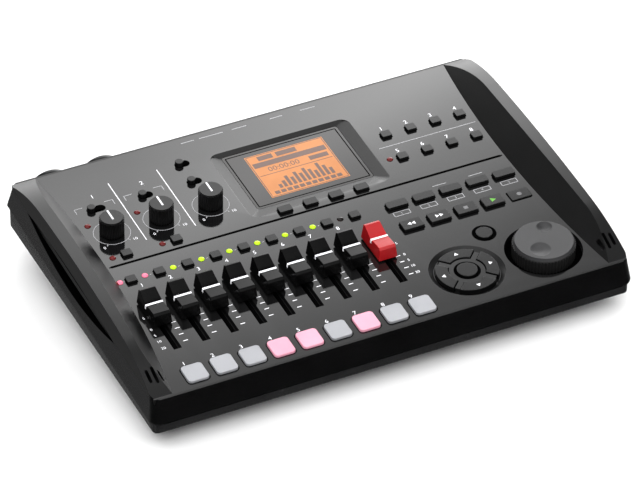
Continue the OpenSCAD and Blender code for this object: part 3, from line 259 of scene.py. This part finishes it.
# CAD nodes: material and the width of the rounded edge
WELD_GAP, FLAT_ANGLE, SHARP_ANGLE = 0.002, math.radians(0.3), math.radians(35)
FINISH = {
    "upper_case": (CASE, 0.35), "lower_case": (TRAY, 0.5), "battery_door": (TRAY, 0.3),
    "rear_panel": (CASE, 0.15), "side_rails": (RAIL, 0.35), "deck_panel": (PANEL, 0.16),
    "display_window": (GLASS, 0.1), "display_module": (INNER, 0.1), "main_board": (BOARD, 0.1),
    "potentiometers": (INNER, 0.1), "switch_bodies": (INNER, 0.1), "combo_jacks": (CASE, 0.3),
    "phone_jacks": (NICKEL, 0.15), "side_sockets": (NICKEL, 0.1), "rubber_feet": (RUBBER, 0.6),
    "indicator_lamps": (LED_OFF, 0.1), "jog_dial": (dial_material(), 0.12), "volume_knob": (KNOB, 0.1),
    "master_fader": (RED, 0.35),
    **{n: (KEY, 0.3) for n in KEY_ROWS + TRANSPORT + ARROWS + SLIDES + ["exit_key", "enter_key"]},
    **{n: (CAP, 0.35) for n in FADERS[:-1]},
    **{n: (KNOB, 0.12) for n in KNOBS},
    **{n: (PAD_LIT if n in LIT_PADS else PAD, 0.5) for n in PADS},
}


def dress(node, material, edge):
    """Gives a CAD node its material and rounds its sharp edges."""
    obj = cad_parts[node]
    obj.data.materials.clear()
    obj.data.materials.append(material)
    weld = obj.modifiers.new("weld", "WELD")
    weld.merge_threshold = WELD_GAP * MM
    merge = obj.modifiers.new("merge_flats", "DECIMATE")
    merge.decimate_type = "DISSOLVE"
    merge.angle_limit = FLAT_ANGLE
    bevel = obj.modifiers.new("edge", "BEVEL")
    bevel.width = edge * MM
    bevel.segments = 2
    bevel.limit_method = "ANGLE"
    bevel.angle_limit = SHARP_ANGLE
    even = obj.modifiers.new("even", "WEIGHTED_NORMAL")
    even.mode = "FACE_AREA"
    even.weight = 100


for node, (material, edge) in FINISH.items():
    dress(node, material, edge)


# Rounded corners, as sign of X, sign of Y and first angle: rear right, rear left, front left, front right
CORNERS = ((1, 1, 0), (-1, 1, 90), (-1, -1, 180), (1, -1, 270))


# Makers of marks and small pieces
def add_piece(name, mesh, body, material, smooth=False):
    """Turns a mesh into a named piece that rides on a body."""
    data = bpy.data.meshes.new(name)
    mesh.to_mesh(data)
    mesh.free()
    if smooth:
        data.shade_smooth()
    data.materials.append(material)
    obj = bpy.data.objects.new(name, data)
    bpy.context.scene.collection.objects.link(obj)
    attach(obj, body)
    return obj


class Flat:
    """Flat marks at one height, gathered into one mesh. place maps their millimetres to the scene."""

    def __init__(self, z=INK, place=TO_SCENE):
        self.z, self.place, self.mesh = z, place, bmesh.new()

    def poly(self, points):
        self.mesh.faces.new([self.mesh.verts.new(self.place @ Vector((x, y, self.z))) for x, y in points])

    def rect(self, x0, y0, x1, y1):
        self.poly([(x0, y0), (x1, y0), (x1, y1), (x0, y1)])

    def bar(self, x, y, w, h):
        self.rect(x - w / 2, y - h / 2, x + w / 2, y + h / 2)

    def frame(self, x, y, w, h, line):
        for side in (-0.5, 0.5):
            self.bar(x, y + side * h, w, line)
            self.bar(x + side * w, y, line, h)

    def rounded_frame(self, x, y, w, h, r, line):
        for sx, sy, start in CORNERS:
            self.arc(x + sx * (w / 2 - r), y + sy * (h / 2 - r), r, line, start, start + 90, 8)
        for side in (-0.5, 0.5):
            self.bar(x, y + side * (h + line), w - 2 * r, line)
            self.bar(x + side * (w + line), y, line, h - 2 * r)

    def arc(self, x, y, r, line, start=0.0, end=360.0, steps=60):
        def point(radius, k):
            a = math.radians(start + (end - start) * k / steps)
            return x + radius * math.cos(a), y + radius * math.sin(a)
        for k in range(steps):
            self.poly([point(r, k), point(r + line, k), point(r + line, k + 1), point(r, k + 1)])

    def ray(self, x, y, r0, r1, angle, line):
        a = math.radians(angle)
        along = Vector((math.cos(a), math.sin(a)))
        across = Vector((-math.sin(a), math.cos(a))) * line / 2
        near, far = Vector((x, y)) + along * r0, Vector((x, y)) + along * r1
        self.poly([near - across, far - across, far + across, near + across])

    def triangle(self, x, y, size, angle):
        turned = [math.radians(angle + a) for a in (0, 120, 240)]
        self.poly([(x + size * math.cos(a), y + size * math.sin(a)) for a in turned])

    def number(self, text, x, y, size):
        curve = bpy.data.curves.new("number", "FONT")
        curve.body, curve.size = str(text), size
        curve.align_x, curve.align_y = "CENTER", "CENTER"
        curve.resolution_u = 3
        holder = bpy.data.objects.new("number", curve)
        outline = holder.to_mesh()
        points = [(x + v.co.x, y + v.co.y) for v in outline.vertices]
        for face in outline.polygons:
            self.poly([points[i] for i in face.vertices])
        holder.to_mesh_clear()
        bpy.data.objects.remove(holder)
        bpy.data.curves.remove(curve)

    def piece(self, name, body, material):
        bmesh.ops.recalc_face_normals(self.mesh, faces=self.mesh.faces[:])
        return add_piece(name, self.mesh, body, material)


def strip(name, body, material, rows):
    """A bent strip through rows of two points in the deck's frame."""
    mesh = bmesh.new()
    pairs = [[mesh.verts.new(TO_SCENE @ Vector(p)) for p in row] for row in rows]
    for (a, b), (c, d) in zip(pairs, pairs[1:]):
        mesh.faces.new((a, b, d, c))
    bmesh.ops.recalc_face_normals(mesh, faces=mesh.faces[:])
    return add_piece(name, mesh, body, material)


def lathe(profile, place, steps, cap=None, closed=False):
    """Mesh of a profile of (radius, height) turned around Z. cap is the index of a ring that a face fills."""
    mesh, rings = bmesh.new(), []
    turns = [2 * math.pi * k / steps for k in range(steps)]
    for r, z in profile:
        ring = [place @ Vector((r * math.cos(a), r * math.sin(a), z)) for a in turns]
        rings.append([mesh.verts.new(p) for p in ring])
    if cap is not None:
        mesh.faces.new(rings[cap])
    following = rings[1:] + rings[:1] if closed else rings[1:]
    for lower, upper in zip(rings, following):
        for k in range(steps):
            n = (k + 1) % steps
            mesh.faces.new((lower[k], lower[n], upper[n], upper[k]))
    bmesh.ops.recalc_face_normals(mesh, faces=mesh.faces[:])
    return mesh


# Printed marks
FADER_SCALE = ((5, -31.7), (0, -40.8), (5, -45.5), (10, -50.3), (20, -55.5))
HEAD_RULES = ((-36, -29), (-26, -13), (-8, 0), (13, 20), (30, 38))
MARKER_RULES = ((64.0, 71.5), (84.0, 91.5))


def track_marks(white, dim):
    """Scales beside the faders, numbers at the tracks and pads, and short rules beside the lamps."""
    tick_x, tick_w, tick_h = 5.7, 2.4, 0.5
    scale_size, scale_left, scale_right, scale_drop = 2.4, 6.2, 9.2, 1.0
    track_size, (pad_left, pad_up), (status_right, status_drop) = 3.6, (2.0, 8.6), (3.0, 5.4)
    dash, first_dash, dash_low, dash_high = (5.3, 4.3), (4.2, 3.8), 0.25, 0.6
    for i, x in enumerate(TRACK_XS):
        for _, y in FADER_SCALE:
            white.bar(x + tick_x, y, tick_w, tick_h)
        white.number(i + 1, x - pad_left, PAD_Y + pad_up, track_size)
    for i, x in enumerate(TRACK_XS[:-1]):
        white.number(i + 1, x + status_right, STATUS_Y - status_drop, track_size)
        start, end = dash if i else first_dash
        dim.rect(x - start, STATUS_Y + dash_low, x - end, STATUS_Y + dash_high)
    for label, y in FADER_SCALE:
        white.number(label, TRACK_XS[-1] + scale_right, y, scale_size)
        white.number(label, TRACK_XS[0] - scale_left, y - scale_drop, scale_size)


def knob_marks(white, dim):
    """Rings and numbers of the knobs, rules between the knobs and brackets over the input switches."""
    ring, ring_line, tick_start, tick_end, tick_line = 9.0, 0.38, 9.2, 10.8, 0.5
    tick_angles = (235, 90, -55)
    rule_xs, rule_low, rule_high, rule_line = (-81.8, -55.5), 21.3, 69.5, 0.44
    bracket_x, bracket_y, bracket_w, bracket_line = 8, 57.025, 4.4, 0.45
    leg_x, leg_y, leg_h = 10.2, 55.3, 3.8
    scale_size, scale_ends = 2.6, ((0, -7.8, -9.6), (10, 8.6, -9.0))
    input_size, input_right, input_y = 3.8, 2, 63.0
    for x in rule_xs:
        white.rect(x - rule_line / 2, rule_low, x + rule_line / 2, rule_high)
    for x in KNOB_XS:
        dim.arc(x, KNOB_Y, ring, ring_line)
        for angle in tick_angles:
            dim.ray(x, KNOB_Y, tick_start, tick_end, angle, tick_line)
        for label, right, up in scale_ends:
            white.number(label, x + right, KNOB_Y + up, scale_size)
    for i, x in enumerate(KNOB_XS[:2]):
        white.number(i + 1, x + input_right, input_y, input_size)
        for side in (-1, 1):
            dim.bar(x + side * bracket_x, bracket_y, bracket_w, bracket_line)
            dim.bar(x + side * leg_x, leg_y, rule_line, leg_h)


def key_marks(white, dim):
    """Numbers and rules of the function and marker keys, and short rules along the deck's rear edge."""
    box_drop, box_w, box_h, box_line, box_size = 6.2, 8.6, 3.0, 0.42, 2.4
    function_rule, function_up, function_size = (53, 38.55, 107, 39.05), 5.8, 3.8
    marker_low, marker_high, head_low, head_high = 5.9, 6.35, 83.4, 84.0
    dim.rect(*function_rule)
    for i, x in enumerate(WIDE_XS):
        dim.frame(x, MARKER_Y - box_drop, box_w, box_h, box_line)
        dim.number(i + 1, x, MARKER_Y - box_drop, box_size)
    for x0, x1 in MARKER_RULES:
        dim.rect(x0, MARKER_Y + marker_low, x1, MARKER_Y + marker_high)
    for row, y in enumerate(FUNCTION_YS):
        for i, x in enumerate(FUNCTION_XS):
            white.number(i + 1 + len(FUNCTION_XS) * row, x, y + function_up, function_size)
    for x0, x1 in HEAD_RULES:
        dim.rect(x0, head_low, x1, head_high)


def deck_marks():
    """The deck's print, in white and in grey."""
    white, dim = Flat(), Flat()
    for draw in (track_marks, knob_marks, key_marks):
        draw(white, dim)
    white.piece("deck_marks", "case", INK_WHITE)
    dim.piece("deck_rules", "case", INK_GREY)


def rear_marks():
    """Marks on the rear face, and the volume knob's pointer."""
    phone_size, phone_left = 3.4, 9
    scale_size, scale_ends, scale_drop = 2.6, (("0", 8.4), ("10", -8.8)), 4.2
    switch_size, switch_ends, switch_up = 2.4, (("ON", -3.6), ("OFF", 3.6)), 4.6
    pointer_up, pointer_w, pointer_h = 2.55, 0.8, 3.5
    marks = Flat(place=TO_REAR)
    for i, x in enumerate(PHONE_XS, 1):
        marks.number(i, phone_left - x, REAR_Z, phone_size)
    for text, x in scale_ends:
        marks.number(text, -(VOLUME_X + x), REAR_Z - scale_drop, scale_size)
    for text, x in switch_ends:
        marks.number(text, -(POWER_X + x), REAR_Z + switch_up, switch_size)
    marks.piece("rear_marks", "case", INK_WHITE)
    pointer = Flat(z=VOLUME_TOP + INK, place=TO_REAR)
    pointer.bar(-VOLUME_X, REAR_Z + pointer_up, pointer_w, pointer_h)
    pointer.piece("volume_knob_pointer", "volume_knob", INK_WHITE)


def lcd_picture():
    """Lit field with a plain counter, head bars, level bars and cells, inside the window's border."""
    shift_x, shift_y, field_up, ink_up = -0.1, 0.35, 0.03, 0.06
    x, y = WINDOW[0] + shift_x, WINDOW[1] + shift_y
    w, h, inset, line = 42.8, 34.5, 1.2, 0.4
    border_w, border_h, border_line = 60.6, 41.4, 0.55
    field_z, ink_z = WINDOW_TOP + field_up, WINDOW_TOP + ink_up
    left, right, low, top = x - w / 2, x + w / 2, y - h / 2, y + h / 2
    # Solid bars, each as left, bottom, right and top
    margin = 1.6
    bars = (
        (left + 6, top - 5.2, left + 14, top - 1.8),
        (left + 16, top - 5.2, left + 27, top - 1.8),
        (left + margin, top - 10.2, right - margin, top - 6.4),
        (left + 30, top - 15, right - 2.5, top - 11.8),
        (left + margin, top - 17.0, right - margin, top - 16.6),
    )
    counter_x, counter_y, counter_size = left + 16, top - 13.4, 5.0
    levels = (3, 5, 8, 6, 9, 7, 10, 8, 6, 11, 8, 5)
    level_x, level_step, level_w, level_y = left + 7, 2.6, 1.7, low + 5.4
    cells, cell_x, cell_step, cell_w, cell_low, cell_high = 11, left + 3, 3.4, 2.6, low + 1.8, low + 4.2
    lit = Flat(z=field_z)
    lit.rect(left, low, right, top)
    lit.piece("lcd_field", "case", LCD)
    ink = Flat(z=ink_z)
    ink.frame(x, y, w - inset, h - inset, line)
    for bar in bars:
        ink.rect(*bar)
    ink.number("00:00:00", counter_x, counter_y, counter_size)
    for k, level in enumerate(levels):
        start = level_x + level_step * k
        ink.rect(start, level_y, start + level_w, level_y + level)
    for k in range(cells):
        start = cell_x + cell_step * k
        ink.rect(start, cell_low, start + cell_w, cell_high)
    ink.piece("lcd_marks", "case", LCD_INK)
    border = Flat(z=field_z)
    border.frame(*WINDOW, border_w, border_h, border_line)
    border.piece("window_border", "case", VOID)


def cap_lines():
    """White line across each cap's valley and a little way down its left side."""
    half, drop, side_lean, sink = 0.62, 1.9, 0.0955, 0.06
    left, right, front_z, rear_z = -4.53, 4.5, 6.72, 6.78
    front, rear = FADER_Y - half, FADER_Y + half
    for name, x in zip(FADERS, TRACK_XS):
        places = ((x + left - side_lean * drop, sink + drop), (x + left, 0), (x + right, 0))
        rows = [((px, front, front_z - down), (px, rear, rear_z - down)) for px, down in places]
        strip(f"{name}_line", name, INK_WHITE, rows)


def knob_pointers():
    """White pointer on each knob's top."""
    half, tail, tip = 0.45, 2.0, 5.4
    for name, x in zip(KNOBS, KNOB_XS):
        mark = Flat(z=KNOB_TOP + INK)
        mark.rect(x - half, KNOB_Y - tail, x + half, KNOB_Y + tip)
        mark.piece(f"{name}_pointer", name, INK_WHITE)


def key_icons():
    """Transport signs, and arrows on the cursor keys."""
    small, gap, square, large, dot = 1.3, 1.1, 2.2, 1.8, 1.3
    signs = {name: Flat(z=(RECORD_TOP if name == "record_key" else KEY_TOP) + INK) for name in TRANSPORT}
    inks = (INK_WHITE, INK_WHITE, SIGN_GREY, GREEN_INK, SIGN_GREY)
    rewind_x, forward_x, stop_x, play_x, record_x = WIDE_XS
    for step in (-gap, gap):
        signs["rewind_key"].triangle(rewind_x + step, TRANSPORT_Y, small, 180)
        signs["forward_key"].triangle(forward_x + step, TRANSPORT_Y, small, 0)
    signs["stop_key"].bar(stop_x, TRANSPORT_Y, square, square)
    signs["play_key"].triangle(play_x, TRANSPORT_Y, large, 0)
    signs["record_key"].arc(record_x, TRANSPORT_Y, 0.0, dot, steps=24)
    for (name, sign), ink in zip(signs.items(), inks):
        sign.piece(f"{name}_icon", name, ink)
    for i, name in enumerate(ARROWS):
        a = math.radians(90 * i)
        arrow = Flat(z=ARROW_TOP + INK)
        arrow.triangle(CURSOR[0] + CURSOR_R * math.cos(a), CURSOR[1] + CURSOR_R * math.sin(a), small, 90 * i)
        arrow.piece(f"{name}_icon", name, INK_WHITE)


def door_arrow():
    """Arrow on the battery door, toward the rear."""
    y, size = 28, 3.2
    mark = Flat(z=DOOR_FACE - INK, place=FROM_FLOOR)
    mark.triangle(0, y, size, 90)
    mark.piece("battery_door_arrow", "battery_door", INK_GREY)


# Small pieces
def lamp_lenses():
    """Domed lenses of the track, input and function lamps. The first one stands clear of the left rail."""
    r, dome, stand, cut = 1.62, 0.48, 0.05, -0.05
    track_up, input_left, (peak_left, peak_up), function_lamp = 0.7, 7.4, (9.0, 9.3), (54.2, 29.0)
    inks = [LED_PINK] * 2 + [LED_LIME] * 6 + [GLASS]
    track_lefts = [6.0] + [7.8] * 8
    places = [(x - left, STATUS_Y + track_up, ink) for x, left, ink in zip(TRACK_XS, track_lefts, inks)]
    places += [(x - input_left, INPUT_KEY_Y, LED_OFF) for x in KNOB_XS[:2]]
    places += [(x - peak_left, KNOB_Y + peak_up, LED_OFF) for x in KNOB_XS[:2]]
    places += [(*function_lamp, LED_OFF)]
    for i, (x, y, material) in enumerate(places, 1):
        mesh = bmesh.new()
        bmesh.ops.create_uvsphere(mesh, u_segments=20, v_segments=12, radius=r)
        bmesh.ops.delete(mesh, geom=[v for v in mesh.verts if v.co.z < cut], context="VERTS")
        seat = TO_SCENE @ Matrix.Translation((x, y, stand)) @ Matrix.Diagonal((1, 1, dome, 1))
        bmesh.ops.transform(mesh, matrix=seat, verts=mesh.verts)
        add_piece(f"lamp_lens_{i}", mesh, "case", material, smooth=True)


def scoop_liners():
    """Painted shade: dark sheets on the bed and floor of the finger scoop on each side, where the deep scoop
    lies in shadow.
    """
    middle, half, below, above, bed_x = 10.5, 54.5, 7.8, 2.7, 123.02
    cheek_x, cheek_z, cheek_lean, stand = 128.3, 12.7, math.radians(7), 0.05
    first, step, count = -54.0, 3.6, 31

    def height(rise, y):
        r = (half ** 2 + rise ** 2) / (2 * rise)
        return math.sqrt(r * r - y * y) - (r - rise)

    ys = [first + step * k for k in range(count)]
    for name, side in (("left", -1), ("right", 1)):
        x, bed, bottom = side * bed_x, [], []
        for y in ys:
            drop, along = height(below, y), middle + y
            edge = side * (cheek_x - (cheek_z - drop) * math.tan(cheek_lean))
            bed.append(((x, along, -drop), (x, along, height(above, y))))
            bottom.append(((x, along, stand - drop), (edge, along, stand - drop)))
        strip(f"scoop_shade_bed_{name}", "case", VOID, bed)
        strip(f"scoop_shade_floor_{name}", "case", VOID, bottom)


def seam_shadow():
    """Painted shadow under the overhanging edge of the upper case, along the sides and the front: a dark
    strip on the lower case.
    """
    r, turns, top, bottom = 7.5, 10, -12.72, -13.6
    half_w, half_d = 128.04 - r, 92.54 - r
    from_rear_left = CORNERS[1:] + CORNERS[:1]
    line = []
    for sx, sy, start in from_rear_left:
        for k in range(turns + 1):
            a = math.radians(start + 90 * k / turns)
            line.append((sx * half_w + r * math.cos(a), sy * half_d + r * math.sin(a)))
    strip("seam_shadow", "case", VOID, [((x, y, top), (x, y, bottom)) for x, y in line])


def groove_lines():
    """Painted shade of the groove across the deck: a black sheet on its bed and dark strips along its lips.
    """
    bed_w, lip_y, lip_w = 0.8, 0.58, 0.34
    bed, lips = Flat(z=GROOVE_BED), Flat()
    bed.bar(0, GROOVE_Y, 2 * GROOVE_END, bed_w)
    for side in (-1, 1):
        lips.bar(0, GROOVE_Y + side * lip_y, 2 * GROOVE_END, lip_w)
    bed.piece("groove_bed_shade", "case", VOID)
    lips.piece("groove_lip_shade", "case", VOID)


def pad_gaps():
    """Painted shadow in the gap around each pad: a dark rounded frame line on the deck."""
    w, h, r, line = 11.2, 12.0, 2.0, 0.5
    gaps = Flat()
    for x in TRACK_XS:
        gaps.rounded_frame(x, PAD_Y, w, h, r, line)
    gaps.piece("pad_gaps", "case", VOID)


def moat_liner():
    """Painted shade: a dark ring on the bed of the cup around the dial."""
    shaft_r, moat_w = 4.0, 15.3
    ring = Flat(z=MOAT_BED + INK)
    ring.arc(*DIAL, shaft_r, moat_w)
    ring.piece("moat_bed_shade", "case", VOID)


def jack_collars():
    """Moulded collar around the nose of each combination jack, as (radius, distance to the rear)."""
    profile = [(10.62, 93.3), (12.2, 93.3), (12.5, 93.7), (12.5, 95.9), (12.0, 96.7), (10.9, 96.9),
               (10.62, 96.6)]
    for i, x in enumerate(COMBO_XS, 1):
        place = TO_SCENE @ Matrix.Translation((x, 0, COMBO_Z)) @ ALONG_Y
        mesh = lathe(profile, place, steps=48, closed=True)
        add_piece(f"jack_collar_{i}", mesh, "case", COLLAR, smooth=True)


def jack_bores():
    """Painted shade: a dark lining inside each phone socket, facing into the bore."""
    r, mouth, bed = 3.2, 5.3, -9.0
    for i, x in enumerate(PHONE_XS, 1):
        place = TO_REAR @ Matrix.Translation((-x, REAR_Z, 0))
        mesh = lathe([(r, mouth), (r, bed)], place, steps=32, cap=-1)
        bmesh.ops.reverse_faces(mesh, faces=mesh.faces[:])
        add_piece(f"phone_bore_shade_{i}", mesh, "case", VOID)


def bottom_screws():
    """Domed screws in the underside, each with a flat dark cross painted as the shade of a cross recess."""
    spots = [(-70, -62), (70, -62), (-70, 40), (70, 40), (0, -62), (-45, -20), (45, -20)]
    profile = [(1.6, 0.05), (2.3, 0.25), (2.8, 0.6)]
    cross_w, cross_line = 2.6, 0.5
    for i, (x, y) in enumerate(spots, 1):
        mesh = lathe(profile, FROM_FLOOR @ Matrix.Translation((x, y, SCREW_FACE)), steps=24, cap=0)
        add_piece(f"bottom_screw_{i}", mesh, "case", NICKEL, smooth=True)
        cross = Flat(z=SCREW_FACE, place=FROM_FLOOR)
        cross.bar(x, y, cross_w, cross_line)
        cross.bar(x, y, cross_line, cross_w)
        cross.piece(f"bottom_screw_cross_shade_{i}", "case", VOID)


def mic_meshes():
    """Metal strips, in place of a mesh, under the three microphone slots of each rail."""
    middle_x, pitch, y, w, length, shorter = 120.4, 3.1, -77, 1.5, 8.2, 2
    for name, side in (("left", -1), ("right", 1)):
        mesh = Flat(z=MESH_TOP)
        for i in (-1, 0, 1):
            mesh.bar(side * (middle_x + pitch * i), y, w, length - shorter * abs(i))
        mesh.piece(f"mic_mesh_{name}", "case", MESH)


deck_marks()
lcd_picture()
lamp_lenses()
cap_lines()
knob_pointers()
key_icons()
scoop_liners()
seam_shadow()
groove_lines()
pad_gaps()
moat_liner()
jack_collars()
rear_marks()
jack_bores()
bottom_screws()
mic_meshes()
door_arrow()

# Stage: floor, glowing card and lights, with lengths in metres
FLOOR_SIZE, CARD_SIZE, CARD_PLACE = (8, 8), (1.05, 1.16), (0.47, 0.62, 0.58)
CARD_PROFILE = [(0, 4.2), (0.3, 2.8), (0.58, 2.4), (0.72, 3.8), (0.82, 3.8), (0.86, 2.8), (0.91, 1.9),
                (0.97, 1.3), (1.02, 0.95), (1.07, 0.65), (1.3, 0.1)]
CARD_SIDES, CARD_SLANT = {"From Min": 0.18, "From Max": 0.48, "To Min": 0.7, "To Max": 1.4}, 0.5
OVERHEAD_POWER, OVERHEAD_SIZE, OVERHEAD_PLACE = 205, (6, 6), Vector((-0.2, -0.1, 2.2))
WORLD_BELOW, WORLD_ABOVE, WORLD_DOWN = 0.17, 0.8, 0.4
# The camera was fitted to the photograph: millimetres in the deck's frame, and a focal length in pixels
CAMERA_AZIMUTH, CAMERA_ELEVATION, CAMERA_ROLL = (math.radians(a) for a in (-25.606, 39.524, 0.767))
CAMERA_RIGHT, CAMERA_UP, CAMERA_BACK, CAMERA_AIM_Z = 2.019, 9.51, 2305.0, -24.33
FOCAL_PIXELS, PHOTO_WIDTH, SENSOR_WIDTH = 4650.5, 640, 36


def stage_plane(name, size, matrix, material):
    """A flat sheet that belongs to the stage."""
    mesh = bmesh.new()
    bmesh.ops.create_grid(mesh, x_segments=1, y_segments=1, size=0.5)
    bmesh.ops.transform(mesh, matrix=matrix @ Matrix.Diagonal((*size, 1, 1)), verts=mesh.verts)
    data = bpy.data.meshes.new(name)
    mesh.to_mesh(data)
    mesh.free()
    data.materials.append(material)
    obj = bpy.data.objects.new(name, data)
    bpy.context.scene.collection.objects.link(obj)
    return obj


def card_glow(profile, sides, slant):
    """A glow that follows a profile of (height, strength) along a slant and grows from left to right."""
    top, strongest = profile[-1][0], max(strength for _, strength in profile)
    material = bpy.data.materials.new("card_glow")
    material.use_nodes = True
    nodes, links = material.node_tree.nodes, material.node_tree.links
    nodes.clear()
    split = nodes.new("ShaderNodeSeparateXYZ")
    links.new(nodes.new("ShaderNodeTexCoord").outputs["Object"], split.inputs["Vector"])
    lean = nodes.new("ShaderNodeMath")
    lean.operation = "MULTIPLY_ADD"
    lean.inputs[1].default_value = slant
    links.new(split.outputs["X"], lean.inputs[0])
    links.new(split.outputs["Z"], lean.inputs[2])
    share = nodes.new("ShaderNodeMapRange")
    share.inputs["From Max"].default_value = top
    links.new(lean.outputs["Value"], share.inputs["Value"])
    ramp = nodes.new("ShaderNodeValToRGB")
    for height, _ in profile[1:-1]:
        ramp.color_ramp.elements.new(height / top)
    for element, (_, strength) in zip(ramp.color_ramp.elements, profile):
        element.color = (strength / strongest,) * 3 + (1,)
    links.new(share.outputs["Result"], ramp.inputs["Fac"])
    across = nodes.new("ShaderNodeMapRange")
    for socket, value in sides.items():
        across.inputs[socket].default_value = value * (strongest if socket.startswith("To") else 1)
    links.new(split.outputs["X"], across.inputs["Value"])
    glow = nodes.new("ShaderNodeEmission")
    links.new(ramp.outputs["Color"], glow.inputs["Color"])
    links.new(across.outputs["Result"], glow.inputs["Strength"])
    links.new(glow.outputs["Emission"], nodes.new("ShaderNodeOutputMaterial").inputs["Surface"])
    return material


def overhead_light():
    """A wide soft light that hangs level and doesn't show in reflections."""
    data = bpy.data.lights.new("overhead", "AREA")
    data.energy, data.shape = OVERHEAD_POWER, "RECTANGLE"
    data.size, data.size_y = OVERHEAD_SIZE
    obj = bpy.data.objects.new("overhead", data)
    obj.location = OVERHEAD_PLACE
    obj.visible_glossy = False
    bpy.context.scene.collection.objects.link(obj)


def world_light():
    """Pale below the horizon at the rear and straight down, soft above at the front, left and top."""
    world = bpy.data.worlds.new("studio")
    bpy.context.scene.world = world
    world.use_nodes = True
    nodes, links = world.node_tree.nodes, world.node_tree.links
    split = nodes.new("ShaderNodeSeparateXYZ")
    links.new(nodes.new("ShaderNodeTexCoord").outputs["Generated"], split.inputs["Vector"])

    def fade(axis, start, end):
        """Goes from 0 to 1 while the direction's X, Y or Z goes from start to end."""
        node = nodes.new("ShaderNodeMapRange")
        node.interpolation_type = "SMOOTHSTEP"
        node.inputs["From Min"].default_value = min(start, end)
        node.inputs["From Max"].default_value = max(start, end)
        node.inputs["To Min"].default_value = float(start > end)
        node.inputs["To Max"].default_value = float(start < end)
        links.new(split.outputs[axis], node.inputs["Value"])
        return node.outputs["Result"]

    def math_node(operation, a, b):
        """Joins two values, each a number or another node's output."""
        node = nodes.new("ShaderNodeMath")
        node.operation = operation
        for socket, value in zip(node.inputs, (a, b)):
            if isinstance(value, float):
                socket.default_value = value
            else:
                links.new(value, socket)
        return node.outputs["Value"]

    down = math_node("MULTIPLY", fade("Z", -0.66, -0.9), WORLD_DOWN)
    rear = math_node("MAXIMUM", fade("Y", -0.25, 0.5), down)
    below = math_node("MULTIPLY", fade("Z", 0.03, -0.15), rear)
    front = math_node("MULTIPLY", fade("Z", 0.0, 0.2), fade("Y", -0.2, -0.6))
    left = math_node("MULTIPLY", fade("Z", 0.62, 0.82), fade("X", -0.02, -0.25))
    above = math_node("MAXIMUM", math_node("MAXIMUM", front, left), fade("Z", 0.88, 0.97))
    pale, soft = math_node("MULTIPLY", below, WORLD_BELOW), math_node("MULTIPLY", above, WORLD_ABOVE)
    nodes["Background"].inputs["Color"].default_value = (1, 1, 1, 1)
    links.new(math_node("ADD", pale, soft), nodes["Background"].inputs["Strength"])


def camera():
    """The photograph's view, set in the deck's frame in millimetres."""
    ground = Vector((math.sin(CAMERA_AZIMUTH), -math.cos(CAMERA_AZIMUTH), 0))
    back = ground * math.cos(CAMERA_ELEVATION) + Vector((0, 0, math.sin(CAMERA_ELEVATION)))
    right = Vector((math.cos(CAMERA_AZIMUTH), math.sin(CAMERA_AZIMUTH), 0))
    upright = Matrix((right, back.cross(right), back)).transposed()
    turn = upright @ Matrix.Rotation(CAMERA_ROLL, 3, "Z")
    eye = turn @ Vector((CAMERA_RIGHT, CAMERA_UP, CAMERA_BACK)) + Vector((0, 0, CAMERA_AIM_Z))
    data = bpy.data.cameras.new("camera")
    data.sensor_width, data.lens = SENSOR_WIDTH, SENSOR_WIDTH * FOCAL_PIXELS / PHOTO_WIDTH
    data.clip_start, data.clip_end = 0.1, 20
    obj = bpy.data.objects.new("camera", data)
    obj.matrix_world = Matrix.Translation(TO_SCENE @ eye) @ (DECK_TURN.to_3x3() @ turn).to_4x4()
    bpy.context.scene.collection.objects.link(obj)
    bpy.context.scene.camera = obj


paper = plastic("floor_paper", (0.87,) * 3, (0.89,) * 3, 0.7, bump=0.0)
floor = stage_plane("floor", FLOOR_SIZE, Matrix.Identity(4), paper)
floor.visible_glossy = False
card_stand = Matrix.Translation(CARD_PLACE) @ Matrix.Rotation(math.radians(90), 4, "X")
card = stage_plane("card", CARD_SIZE, card_stand, card_glow(CARD_PROFILE, CARD_SIDES, CARD_SLANT))
card.visible_camera = False
overhead_light()
world_light()
camera()
bpy.context.scene.view_settings.view_transform = "Standard"
